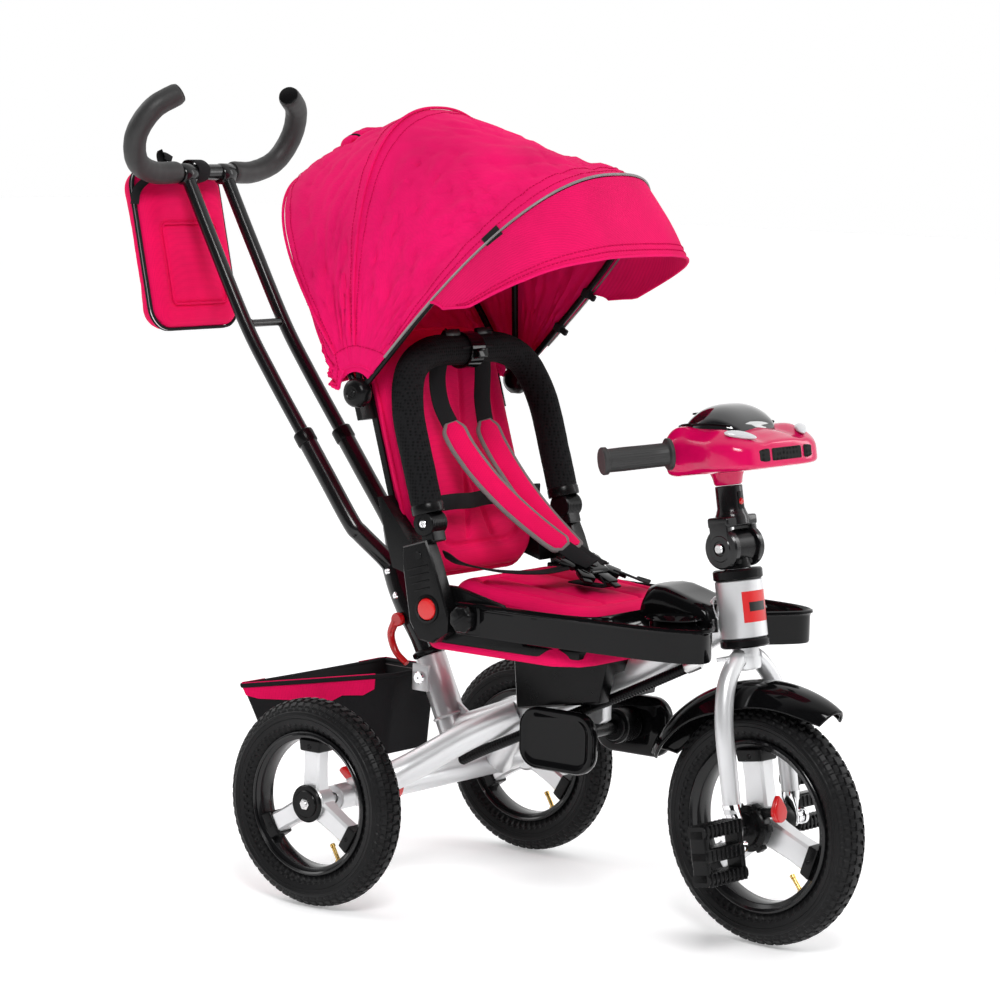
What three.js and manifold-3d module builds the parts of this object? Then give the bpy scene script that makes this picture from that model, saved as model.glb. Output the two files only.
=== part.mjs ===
// Children's tricycle with a parent's push handle, folding canopy and reclining seat.
// Units are millimetres, +Z is up and the rider faces -Y, so the rider's right is -X.
// The origin is on the ground, under the middle of the tricycle.
import * as THREE from 'three';
import { mergeVertices } from 'three/addons/utils/BufferGeometryUtils.js';
import Module from 'manifold-3d';

const wasm = await Module();
wasm.setup();

// ---------------------------------------------------------------- driving dimensions
const wheelFacets = 26;
const frontWheel = { radius: 145, bore: 93 };
const rearWheel = { radius: 130, bore: 80 };
const tyreHeight = 38;
const tyreHalfWidth = 23.5;
const wheelbase = 517;
const halfTrack = 220;
const clearance = 0.35;
const midLength = 422; // from the front hub back to the middle of the whole length

const rake = 9.4; // degrees that the steering axis leans back
const parkedSteer = -6; // degrees that the front wheel is turned when parked
const headBottom = 225;
const headTop = 295;
const headRadius = 28.5;
const knuckleHeight = 334;
const barHeight = 456;
const forkHalfWidth = 55;
const gripSweep = 30; // degrees that the handlebar grips sweep back

const backTilt = 17; // degrees that the backrest leans back
const seatPivot = { x: 150, y: 396, z: 378 };
const bumperPivot = { x: 139, y: 409, z: 481 };
const canopyPivot = { x: 165, y: 511, z: 635 };
// The bows' angles are forward of vertical. Square is how boxy a bow is: 1 is an ellipse.
const frontBow = { angle: 44, reach: 384, square: 0.8 };
const middleBow = { angle: -2, reach: 350, square: 0.86 };
const rearBow = { angle: -36, reach: 335 };
const hubRise = 26; // how far above the pivot the cloth starts
const fallSlope = 0.49; // how far the rear panel leans back as it rises
const frontSag = 30;
const visorEdge = { angle: 60, reach: 358, square: 0.6, halfWidth: 205 };

const poleHalfGap = 38;
const poleLean = 38; // degrees that the lower, sliding part of the poles leans back
const poleCollar = { y: 702, z: 557 };
const rungPoint = { y: 808, z: 698 };
const poleTop = { y: 920, z: 892 };
const sleeveDepth = 132; // straight hollow of each sleeve below its collar
const poleInsertion = 72;
const bagLean = 13;
const bagSize = { width: 160, height: 225, depth: 40 };
const socketFoot = { y: 478, z: 206 };
const socketTop = { y: 516, z: 288 };

const colours = {
  pink: 0xe0145c, red: 0xd01018, black: 0x16161a, gloss: 0x0c0c0f, rubber: 0x202022,
  silver: 0xc9cbce, chrome: 0xdedfe2, foam: 0x2b2b2e, glass: 0x101014,
};

// ---------------------------------------------------------------- scene and materials
const tricycle = new THREE.Group();
const body = new THREE.Group();
body.position.y = -midLength;
tricycle.add(body);

// The steered parts hang in a group whose origin is the front hub and whose Z is the steering axis.
const steeringTilt = new THREE.Group();
steeringTilt.position.set(0, 0, frontWheel.radius);
steeringTilt.rotation.x = THREE.MathUtils.degToRad(-rake);
body.add(steeringTilt);
const steered = new THREE.Group();
steered.rotation.z = THREE.MathUtils.degToRad(parkedSteer);
steeringTilt.add(steered);

// The backrest group's origin is the recline pivot and its Z runs up the backrest.
const backrest = new THREE.Group();
backrest.position.set(0, seatPivot.y, seatPivot.z);
backrest.rotation.x = THREE.MathUtils.degToRad(-backTilt);
body.add(backrest);

function addPart(parent, name, geometry, colour, roughness = 0.5, metalness = 0) {
  const material = new THREE.MeshStandardMaterial({ color: colours[colour], roughness, metalness });
  const part = new THREE.Mesh(join(geometry), material);
  part.name = name;
  parent.add(part);
  return part;
}

// ---------------------------------------------------------------- solid geometry helpers
const point = ([x, y, z]) => new THREE.Vector3(x, y, z);
const radians = THREE.MathUtils.degToRad;

function signedVolume(positions, index) {
  const [a, b, c] = [0, 1, 2].map(() => new THREE.Vector3());
  let volume = 0;
  for (let i = 0; i < index.length; i += 3) {
    a.fromArray(positions, 3 * index[i]);
    b.fromArray(positions, 3 * index[i + 1]);
    c.fromArray(positions, 3 * index[i + 2]);
    volume += a.dot(b.cross(c)) / 6;
  }
  return volume;
}

// A closed geometry as a solid: shared corners merged, slivers dropped and faces turned outwards.
function toSolid(geometry) {
  const bare = geometry.clone();
  bare.deleteAttribute('normal');
  bare.deleteAttribute('uv');
  const merged = mergeVertices(bare, 1e-3);
  const corners = merged.index.array;
  const positions = new Float32Array(merged.attributes.position.array);
  const index = [];
  for (let i = 0; i < corners.length; i += 3) {
    const [a, b, c] = [corners[i], corners[i + 1], corners[i + 2]];
    if (a !== b && b !== c && c !== a) index.push(a, b, c);
  }
  if (signedVolume(positions, index) < 0) index.reverse();
  const triVerts = new Uint32Array(index);
  return new wasm.Manifold(new wasm.Mesh({ numProp: 3, vertProperties: positions, triVerts }));
}

function toGeometry(solid) {
  const mesh = solid.getMesh();
  const geometry = new THREE.BufferGeometry();
  geometry.setAttribute('position', new THREE.BufferAttribute(mesh.vertProperties, 3));
  geometry.setIndex(new THREE.BufferAttribute(mesh.triVerts, 1));
  return geometry;
}

function join(...pieces) {
  return toGeometry(pieces.map(toSolid).reduce((whole, piece) => whole.add(piece)));
}

function cut(base, ...tools) {
  return toGeometry(tools.map(toSolid).reduce((whole, tool) => whole.subtract(tool), toSolid(base)));
}

function box(width, depth, height, x = 0, y = 0, z = 0) {
  return new THREE.BoxGeometry(width, depth, height).translate(x, y, z);
}

// A straight round bar between two points.
function rod(radius, from, to, sides = 16) {
  const [start, end] = [point(from), point(to)];
  const axis = end.clone().sub(start);
  const up = new THREE.Vector3(0, 1, 0);
  const turn = new THREE.Quaternion().setFromUnitVectors(up, axis.clone().normalize());
  const middle = start.add(end).multiplyScalar(0.5);
  return new THREE.CylinderGeometry(radius, radius, axis.length(), sides)
    .applyQuaternion(turn).translate(middle.x, middle.y, middle.z);
}

// A round bar bent along a smooth curve through the points.
function bentBar(radius, points, steps = 8, sides = 10) {
  const rim = Array.from({ length: sides }, (_, k) => {
    const angle = (k / sides) * 2 * Math.PI;
    return new THREE.Vector2(radius * Math.cos(angle), radius * Math.sin(angle));
  });
  const extrudePath = new THREE.CatmullRomCurve3(points.map(point), false, 'centripetal');
  return new THREE.ExtrudeGeometry(new THREE.Shape(rim), { steps, extrudePath, bevelEnabled: false });
}

// A turned ring or disc on the X axis. The profile is a list of [radius, x], either closed
// on itself or with both ends on the axis. A corner of every facet points straight down.
function turned(profile, facets = wheelFacets, closed = true) {
  const outline = profile.map(([r, x]) => new THREE.Vector2(r, x));
  if (closed) outline.push(outline[0].clone());
  return new THREE.LatheGeometry(outline, facets).rotateZ(-Math.PI / 2);
}

// A flat plate: the outline's [y, z] points, standing across X from x to x + thickness.
function sidePlate(outline, x, thickness, bevel = 0) {
  const shape = new THREE.Shape(outline.map(([y, z]) => new THREE.Vector2(y, z)));
  const options = {
    depth: thickness - 2 * bevel, bevelEnabled: bevel > 0, bevelThickness: bevel,
    bevelSize: bevel, bevelOffset: -bevel, bevelSegments: 1,
  };
  return new THREE.ExtrudeGeometry(shape, options)
    .translate(0, 0, bevel).rotateX(Math.PI / 2).rotateZ(Math.PI / 2).translate(x, 0, 0);
}

// A flat plate: the outline's [x, y] points, lying level from z to z + thickness.
function levelPlate(outline, z, thickness) {
  const shape = new THREE.Shape(outline.map(([x, y]) => new THREE.Vector2(x, y)));
  return new THREE.ExtrudeGeometry(shape, { depth: thickness, bevelEnabled: false }).translate(0, 0, z);
}

// Points round a rounded rectangle, anticlockwise from the lower right corner's arc.
function roundedOutline(width, height, radius, perCorner = 3) {
  const points = [];
  const centres = [[1, -1, -90], [1, 1, 0], [-1, 1, 90], [-1, -1, 180]];
  for (const [sx, sy, start] of centres) {
    for (let k = 0; k <= perCorner; k += 1) {
      const angle = radians(start + (90 * k) / perCorner);
      points.push([
        sx * (width / 2 - radius) + radius * Math.cos(angle),
        sy * (height / 2 - radius) + radius * Math.sin(angle),
      ]);
    }
  }
  return points;
}

// A cushion: a rounded plate with its edges bevelled on both faces, lying in X and Y.
function cushion(width, depth, height, radius, bevel) {
  const shape = new THREE.Shape(roundedOutline(width - 2 * bevel, depth - 2 * bevel, radius)
    .map(([x, y]) => new THREE.Vector2(x, y)));
  const options = {
    depth: height - 2 * bevel, bevelEnabled: true, bevelThickness: bevel, bevelSize: bevel, bevelSegments: 2,
  };
  return new THREE.ExtrudeGeometry(shape, options).translate(0, 0, bevel - height / 2);
}

// A sheet with a thickness: surface(u, v) gives its outer face, for u and v from 0 to 1.
function thickSheet(surface, columns, rows, thickness) {
  const outer = [];
  for (let i = 0; i <= columns; i += 1) {
    for (let j = 0; j <= rows; j += 1) outer.push(surface(i / columns, j / rows));
  }
  const at = (i, j) => i * (rows + 1) + j;
  const positions = [];
  const inner = [];
  for (let i = 0; i <= columns; i += 1) {
    for (let j = 0; j <= rows; j += 1) {
      const along = outer[at(Math.min(i + 1, columns), j)].clone().sub(outer[at(Math.max(i - 1, 0), j)]);
      const across = outer[at(i, Math.min(j + 1, rows))].clone().sub(outer[at(i, Math.max(j - 1, 0))]);
      const normal = along.cross(across).normalize();
      inner.push(outer[at(i, j)].clone().addScaledVector(normal, -thickness));
    }
  }
  for (const p of [...outer, ...inner]) positions.push(p.x, p.y, p.z);
  const index = [];
  const quad = (a, b, c, d) => index.push(a, b, c, a, c, d);
  const under = outer.length;
  for (let i = 0; i < columns; i += 1) {
    for (let j = 0; j < rows; j += 1) {
      quad(at(i, j), at(i + 1, j), at(i + 1, j + 1), at(i, j + 1));
      quad(under + at(i, j), under + at(i, j + 1), under + at(i + 1, j + 1), under + at(i + 1, j));
    }
    quad(at(i, 0), under + at(i, 0), under + at(i + 1, 0), at(i + 1, 0));
    quad(at(i + 1, rows), under + at(i + 1, rows), under + at(i, rows), at(i, rows));
  }
  for (let j = 0; j < rows; j += 1) {
    quad(at(0, j + 1), under + at(0, j + 1), under + at(0, j), at(0, j));
    quad(at(columns, j), under + at(columns, j), under + at(columns, j + 1), at(columns, j + 1));
  }
  const geometry = new THREE.BufferGeometry();
  geometry.setAttribute('position', new THREE.Float32BufferAttribute(positions, 3));
  geometry.setIndex(index);
  return geometry;
}

// ---------------------------------------------------------------- wheels
// The tyre is open towards the rim, as an inflated tyre's casing is.
function tyre(radius) {
  const w = tyreHalfWidth;
  const half = [[radius, 7], [radius - 6, 19], [radius - 19, w], [radius - 32, w - 4],
    [radius - tyreHeight, 12], [radius - 18, 15]];
  const mirrored = half.map(([r, x]) => [r, -x]).reverse();
  return turned([...half, ...mirrored]);
}

function rim({ radius, bore }) {
  const seat = radius - tyreHeight - clearance;
  return turned([[seat, 14], [seat - 2, 18], [bore + 3, 19], [bore, 16],
    [bore, -16], [bore + 3, -19], [seat - 2, -18], [seat, -14]]);
}

// Three flat arms on a turned core, with a bore for the axle.
function spokes({ bore, coreRadius, inner, outer, axleRadius, armWidth, armDepth }) {
  const reach = Math.sqrt((bore * Math.cos(Math.PI / wheelFacets)) ** 2 - (armWidth / 2) ** 2) - 1;
  const core = rod(coreRadius, [inner, 0, 0], [outer, 0, 0], 24);
  const arms = [0, 120, 240].map((angle) => box(armDepth, armWidth, reach, 0, 0, reach / 2)
    .rotateX(radians(angle)));
  return cut(join(core, ...arms), rod(axleRadius, [-300, 0, 0], [300, 0, 0], 16));
}

function addRearWheels() {
  for (const [side, name] of [[-1, 'right'], [1, 'left']]) {
    const wheel = new THREE.Group();
    wheel.position.set(side * halfTrack, wheelbase, rearWheel.radius);
    body.add(wheel);
    addPart(wheel, `rear_tyre_${name}`, tyre(rearWheel.radius), 'rubber', 0.85);
    addPart(wheel, `rear_rim_${name}`, rim(rearWheel), 'black', 0.4);
    const hub = spokes({
      bore: rearWheel.bore, coreRadius: 24, inner: -side * 22, outer: side * 15,
      axleRadius: 6 + clearance, armWidth: 26, armDepth: 24,
    });
    addPart(wheel, `rear_hub_${name}`, hub, 'silver', 0.4, 0.6);
  }
  const reach = halfTrack + 15 + clearance;
  const axle = [[0, -reach - 6], [9, -reach - 6], [9, -reach], [6, -reach],
    [6, reach], [9, reach], [9, reach + 6], [0, reach + 6]];
  const axleShaft = turned(axle, 16, false).translate(0, wheelbase, rearWheel.radius);
  addPart(body, 'rear_axle', axleShaft, 'chrome', 0.2, 1);
}

// ---------------------------------------------------------------- front wheel and fork
const crankAxleRadius = 7;
const crankOffset = { y: -23, z: -15 };
const pedalCentre = 115;
const pedalWidth = 72;
const hubHalfWidth = 40;
const crankX = 71.5; // middle of each crank arm, just outside the fork leg
const crankHalfThickness = 4;

function addFrontWheel() {
  addPart(steered, 'front_tyre', tyre(frontWheel.radius), 'rubber', 0.85);
  addPart(steered, 'front_rim', rim(frontWheel), 'black', 0.4);
  const axleRadius = crankAxleRadius + clearance;
  const arms = spokes({
    bore: frontWheel.bore, coreRadius: 22, inner: -13, outer: hubHalfWidth,
    axleRadius, armWidth: 34, armDepth: 26,
  });
  addPart(steered, 'front_spokes', arms, 'silver', 0.35, 0.6);
  // The clutch housing is a turned drum beside the spokes, with a lug for the lever.
  const drum = turned([[axleRadius, -13.4], [24, -13.4], [28, -18], [28, -34], [22, -hubHalfWidth],
    [axleRadius, -hubHalfWidth]], 24);
  addPart(steered, 'front_hub', join(drum, box(14, 20, 14, -24, -30, 20)), 'black', 0.4);
  const lever = sidePlate([[-9, -4], [9, -4], [12, 6], [4, 24], [-4, 24], [-12, 6]], -4, 8, 1);
  const clutch = addPart(steered, 'clutch_lever', lever, 'red', 0.35);
  clutch.position.set(-24, -45, 14);
  clutch.rotation.z = radians(90);
}

function addCranksAndPedals() {
  const bar = rod(crankAxleRadius, [-crankX, 0, 0], [crankX, 0, 0], 16);
  const spindleEnd = pedalCentre + pedalWidth / 2 - 4;
  const arms = [-1, 1].map((side) => {
    const [y, z] = [-side * crankOffset.y, -side * crankOffset.z];
    const middle = side * crankX;
    const [low, high] = [middle - crankHalfThickness, middle + crankHalfThickness];
    const web = rod(crankHalfThickness, [middle, 0, 0], [middle, y, z], 8);
    const bosses = [[0, 0, 10], [y, z, 8]]
      .map(([by, bz, r]) => rod(r, [low, by, bz], [high, by, bz], 16));
    return join(web, ...bosses, rod(5, [middle, y, z], [side * spindleEnd, y, z], 12));
  });
  addPart(steered, 'crank_axle', join(bar, ...arms), 'chrome', 0.15, 1);
  for (const [side, name] of [[-1, 'right'], [1, 'left']]) {
    const inner = side * pedalCentre - pedalWidth / 2;
    const block = sidePlate(roundedOutline(30, 72, 12), inner, pedalWidth, 2);
    const windows = [-21, 21].map((z) => box(pedalWidth - 14, 60, 20, side * pedalCentre, 0, z));
    const spindleHole = rod(5 + clearance, [side * 60, 0, 0], [side * (spindleEnd + clearance), 0, 0], 12);
    const pedal = addPart(steered, `pedal_${name}`, cut(block, ...windows, spindleHole), 'black', 0.6);
    pedal.position.set(0, -side * crankOffset.y, -side * crankOffset.z);
  }
}

function addFork() {
  const legs = [-1, 1].map((side) => bentBar(11, [[side * forkHalfWidth, 0, 16], [side * forkHalfWidth, 0, 70],
    [side * (forkHalfWidth - 1), 0, 125], [side * 40, 0, 172], [side * 12, 0, 204]]));
  const crown = join(rod(15, [0, 0, 190], [0, 0, headBottom - 10]), box(70, 10, 20, 0, 0, 186),
    rod(headRadius + 1.5, [0, 0, headBottom - 11], [0, 0, headBottom - clearance], 20));
  const steerer = rod(14, [0, 0, 204], [0, 0, knuckleHeight - 20]);
  const tipX = forkHalfWidth - 5;
  const tips = [-1, 1].map((side) => sidePlate(roundedOutline(22, 34, 8), side * tipX - 3.5, 7, 1)
    .translate(0, 0, 8));
  const lug = box(30, 16, 5, -22, 8, 203);
  const axleHole = rod(crankAxleRadius + clearance, [-80, 0, 0], [80, 0, 0], 16);
  const fork = cut(join(...legs, crown, steerer, ...tips, lug), axleHole);
  addPart(steered, 'fork', fork, 'silver', 0.35, 0.6);
}

// The mudguard arches over the tyre, widest at the fork and narrowing to both ends.
function addFender() {
  const surface = (u, v) => {
    const angle = radians(-44 + 103 * u);
    const end = Math.abs(2 * u - 1);
    const across = 2 * v - 1;
    const halfWidth = 36 - 10 * end ** 2;
    const reach = 172 + 12 * end ** 2 - 30 * across ** 2 * (1 - 0.5 * end);
    return new THREE.Vector3(halfWidth * across, reach * Math.sin(angle), reach * Math.cos(angle));
  };
  addPart(steered, 'front_fender', thickSheet(surface, 12, 6, 2.5), 'gloss', 0.15);
}

// ---------------------------------------------------------------- handlebar
const stemTop = 408;
const postRadius = 12;
const buttonRadius = 4;
const buttonHeight = 388;

function addStem() {
  const core = join(rod(21, [-17, 0, knuckleHeight], [17, 0, knuckleHeight], 24),
    rod(16.5, [0, 0, headTop + 13.4], [0, 0, headTop + 20], 20), box(30, 30, 20, 0, 0, knuckleHeight - 14.6));
  const steererRoom = rod(14 + clearance, [0, 0, 280], [0, 0, knuckleHeight - 19.6], 20);
  addPart(steered, 'stem_knuckle', cut(core, steererRoom), 'black', 0.45);
  const cheeks = [-1, 1]
    .map((side) => rod(25, [side * 17.4, 0, knuckleHeight], [side * 29, 0, knuckleHeight], 24));
  const bridge = box(56, 34, 12, 0, 0, knuckleHeight + 31);
  const sides = [-1, 1].map((side) => box(11, 30, 34, side * 23, 0, knuckleHeight + 17));
  const post = rod(16.5, [0, 0, knuckleHeight + 26], [0, 0, stemTop], 20);
  const hollow = rod(postRadius + clearance, [0, 0, knuckleHeight + 38], [0, 0, stemTop + 5], 20);
  const buttonHole = rod(buttonRadius + clearance, [0, -30, buttonHeight], [0, 0, buttonHeight], 12);
  addPart(steered, 'stem', cut(join(...cheeks, bridge, ...sides, post), hollow, buttonHole), 'black', 0.4);
  const button = rod(buttonRadius, [0, -19.5, buttonHeight], [0, -postRadius - 2.6, buttonHeight], 12);
  addPart(steered, 'stem_button', button, 'red', 0.35);
}

// The console looks like a generic toy car: a low body with a domed dark cabin.
function addConsole() {
  const outline = [[-82, -10], [-78, 28], [-52, 40], [52, 40], [78, 28], [82, -10], [80, -56], [58, -82],
    [0, -92], [-58, -82], [-80, -56]];
  const base = levelPlate(outline, barHeight - 31, 38);
  const hood = levelPlate(outline.map(([x, y]) => [x * 0.86, y * 0.86]), barHeight + 6.9, 14);
  const post = rod(postRadius, [0, 0, knuckleHeight + 44], [0, 0, barHeight - 30], 20);
  const seat = rod(17, [0, 0, stemTop + 1], [0, 0, barHeight - 30], 20);
  const grille = box(70, 12, 12, 0, -92, barHeight - 14);
  addPart(steered, 'console_body', cut(join(base, hood, seat, post), grille), 'pink', 0.25);
  const roof = [[-50, 22], [-34, 32], [34, 32], [50, 22], [46, -30], [28, -46], [-28, -46], [-46, -30]];
  const lower = levelPlate(roof, barHeight + 21.3, 12);
  const upper = levelPlate(roof.map(([x, y]) => [x * 0.72, y * 0.72 - 1]), barHeight + 33.2, 14);
  addPart(steered, 'console_window', join(lower, upper), 'glass', 0.08);
  for (const [side, name] of [[-1, 'right'], [1, 'left']]) {
    const along = (distance, lift = 0) => [side * (92 + distance * Math.cos(radians(gripSweep))),
      4 + distance * Math.sin(radians(gripSweep)), barHeight + lift];
    const flange = rod(19, along(1), along(6), 20);
    const sleeve = rod(14, along(5), along(82), 16);
    const end = rod(16.5, along(81), along(87), 20);
    const grip = addPart(steered, `handlebar_grip_${name}`, join(flange, sleeve, end), 'foam', 0.8);
    grip.position.z = -3;
  }
}

// ---------------------------------------------------------------- main frame
const spine = [[0, 60, 388], [0, 187, 311], [0, 266, 275], [0, 369, 232], [0, 472, 192]];

function addFrame() {
  const headPoint = (s) => [0, s * Math.sin(radians(rake)), frontWheel.radius + s * Math.cos(radians(rake))];
  const head = rod(headRadius, headPoint(headBottom), headPoint(headTop), 24);
  const bore = rod(18, headPoint(headBottom - 30), headPoint(headTop + 30));
  const tube = bentBar(18, spine, 8, 12);
  const branches = [-1, 1].map((side) => bentBar(17, [[side * 8, 372, 230], [side * 45, 412, 206],
    [side * 100, 474, 158], [side * 150, 517, 132]], 6, 10));
  const hubPoint = (x) => [x, wheelbase, rearWheel.radius];
  const axleTube = rod(16, hubPoint(-186), hubPoint(186));
  const socket = rod(20, [0, socketFoot.y - 12, socketFoot.z - 26], [0, socketTop.y, socketTop.z], 24);
  const plate = box(6, 26, 34, -20, 514, 262);
  const gusset = sidePlate([[440, 214], [486, 214], [492, 250]], -3, 6);
  const hanger = sidePlate([[235, 292], [272, 276], [272, 236], [235, 236]], -10, 20);
  const solid = join(head, tube, ...branches, axleTube, socket, plate, gusset, hanger);
  const axleBore = rod(6 + clearance, hubPoint(-250), hubPoint(250), 16);
  const socketBore = rod(16.4, [0, socketFoot.y, socketFoot.z], [0, socketTop.y + 19, socketTop.z + 41], 20);
  addPart(body, 'main_frame', cut(solid, bore, axleBore, socketBore), 'silver', 0.35, 0.6);
  const ring = rod(headRadius + 1.5, headPoint(headTop + clearance), headPoint(headTop + 13), 24);
  const ringBore = rod(15.6, headPoint(headTop - 5), headPoint(headTop + 20));
  addPart(body, 'head_ring', cut(ring, ringBore), 'black', 0.5);
}

const conduit = [[-27, 84, 334], [-27, 187, 284], [-27, 292, 236], [-26, 376, 197], [-22, 410, 182],
  [-20, 446, 164]];

function addSteeringConduit() {
  addPart(body, 'steering_conduit', bentBar(7, conduit, 8, 8), 'black', 0.6);
}

// ---------------------------------------------------------------- seat
function addSeat() {
  const floorBox = sidePlate([[196, 334], [196, 318], [206, 272], [330, 250], [338, 334]], -62, 124, 3);
  // The base straddles the frame's spine and the conduit beside it.
  const spineRoom = bentBar(18.6, spine, 8, 12);
  const underSpine = sidePlate([[150, 330], [150, 150], [380, 150], [380, 230]], -38, 57);
  addPart(body, 'seat_base', cut(floorBox, spineRoom, underSpine), 'black', 0.5);
  const panOutline = [[-122, 192], [122, 192], [136, 250], [136, 428], [-136, 428], [-136, 250]];
  const pan = levelPlate(panOutline, 334.4, 12);
  const walls = [-1, 1].map((side) => sidePlate([[262, 346], [300, 392], [372, 408], [428, 408], [428, 346]],
    side > 0 ? 126 : -136, 10));
  addPart(body, 'seat_shell', join(pan, ...walls.map((wall) => wall.translate(0, 0, -2))), 'black', 0.45);
  const pad = cushion(236, 224, 48, 40, 10);
  pad.rotateX(radians(5)).translate(0, 300, 383);
  addPart(body, 'seat_cushion', pad, 'pink', 0.85);
}

// The side brackets carry the bumper bar and turn with the backrest about the red buttons.
const bracketTop = 82;
const bracketOutline = [[-30, -12], [-22, -34], [4, -42], [24, -34], [32, -10], [24, 60], [18, bracketTop],
  [-20, bracketTop], [-24, 60]];

function addBackrest() {
  const [low, high] = [42, 352];
  const middle = (low + high) / 2;
  const outline = roundedOutline(236, high - low, 46).map(([x, z]) => new THREE.Vector2(x, z + middle));
  const plate = new THREE.ExtrudeGeometry(new THREE.Shape(outline), { depth: 8, bevelEnabled: false })
    .rotateX(Math.PI / 2).translate(0, 57, 0);
  const brackets = [-1, 1].map((side) => sidePlate(bracketOutline, side > 0 ? 138 : -159, 21, 2));
  const wings = [-1, 1].map((side) => sidePlate([[22, 40], [57, 62], [57, 150], [50, 150], [16, 74]],
    side > 0 ? 112 : -139, 27));
  const pockets = [-1, 1].map((side) => rod(14, [side * 151, 0, 0], [side * 165, 0, 0], 20));
  const canopyArms = [-1, 1].map((side) => box(36, 8, 44, side * 128, 53, 270));
  const frame = cut(join(plate, ...brackets, ...wings, ...canopyArms), ...pockets);
  addPart(backrest, 'backrest_frame', frame, 'black', 0.5);
  const pad = cushion(222, high - low - 6, 30, 44, 10).rotateX(Math.PI / 2).translate(0, 33.4, middle);
  addPart(backrest, 'backrest_cushion', pad, 'pink', 0.85);
  for (const [side, name] of [[-1, 'right'], [1, 'left']]) {
    const button = rod(13.6, [side * 153.6, 0, 0], [side * 162, 0, 0], 20);
    addPart(backrest, `recline_button_${name}`, button, 'red', 0.3);
    const route = [[side * 32, 8, 280], [side * 42, 8, 230], [side * 42, 0, 160], [side * 18, -18, 96]];
    addPart(backrest, `harness_pad_${name}`, bentBar(9, route, 6, 8), 'pink', 0.85);
  }
  addPart(backrest, 'harness_buckle', box(40, 14, 26, 0, -20, 72), 'black', 0.5);
}

function backPoint(y, z) {
  const [dy, dz] = [y - seatPivot.y, z - seatPivot.z];
  const [cosine, sine] = [Math.cos(radians(backTilt)), Math.sin(radians(backTilt))];
  return [dy * cosine - dz * sine, dy * sine + dz * cosine];
}

function addBumperBar() {
  const [y, z] = backPoint(bumperPivot.y, bumperPivot.z);
  const pivot = new THREE.Group();
  pivot.position.set(0, y, z);
  backrest.add(pivot);
  const w = bumperPivot.x;
  const rise = 212;
  const half = [[w, 0, 14], [w, 0, 70], [w - 2, 0, 140], [w - 24, 0, 190], [w - 70, 0, rise]];
  const path = [...half.map(([x, py, pz]) => [-x, py, pz]), [0, 0, rise], ...half.reverse()];
  const drumRoom = rod(16.4, [-w - 40, 0, 0], [w + 40, 0, 0], 20);
  addPart(pivot, 'bumper_bar', cut(bentBar(20, path, 22, 10), drumRoom), 'foam', 0.9);
  const clip = turned([[20.8, -14], [23.5, -14], [23.5, 14], [20.8, 14]], 20).translate(0, 0, rise);
  addPart(pivot, 'bumper_clip', clip, 'gloss', 0.2);
  for (const [side, name] of [[-1, 'right'], [1, 'left']]) {
    const drum = rod(15.5, [side * w - 15, 0, 0], [side * w + 15, 0, 0], 20);
    const foot = box(26, 20, 24, side * w, 0, -14);
    // The foot stops just above the side bracket's top face.
    const bracketRoom = box(60, 60, 20, side * w, 0, bracketTop - z - 9.6);
    addPart(pivot, `bumper_joint_${name}`, cut(join(drum, foot), bracketRoom), 'black', 0.45);
  }
}

// ---------------------------------------------------------------- canopy
// A point on a canopy bow: across runs from 0 (right) to 1 (left).
function bowPoint({ angle, reach, square, halfWidth = 191 }, across) {
  const turn = Math.PI * across;
  const rise = hubRise + (reach - hubRise) * Math.sin(turn) ** square;
  const side = -Math.sign(Math.cos(turn)) * Math.abs(Math.cos(turn)) ** square;
  const width = canopyPivot.x + (halfWidth - canopyPivot.x) * Math.sin(turn);
  return new THREE.Vector3(side * width, canopyPivot.y - rise * Math.sin(radians(angle)),
    canopyPivot.z + rise * Math.cos(radians(angle)));
}

// A bow part of the way from one bow to the next.
function betweenBows(from, to, part) {
  const mix = (a, b) => a + (b - a) * part;
  return {
    angle: mix(from.angle, to.angle),
    reach: mix(from.reach, to.reach),
    square: mix(from.square, to.square),
  };
}

// Behind the rear bow the fabric falls straight to the backrest instead of following an arc.
function rearFall(angle) {
  const start = radians(-rearBow.angle);
  const across = rearBow.reach * (Math.sin(start) - fallSlope * Math.cos(start));
  return across / (Math.sin(radians(-angle)) - fallSlope * Math.cos(radians(angle)));
}

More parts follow.
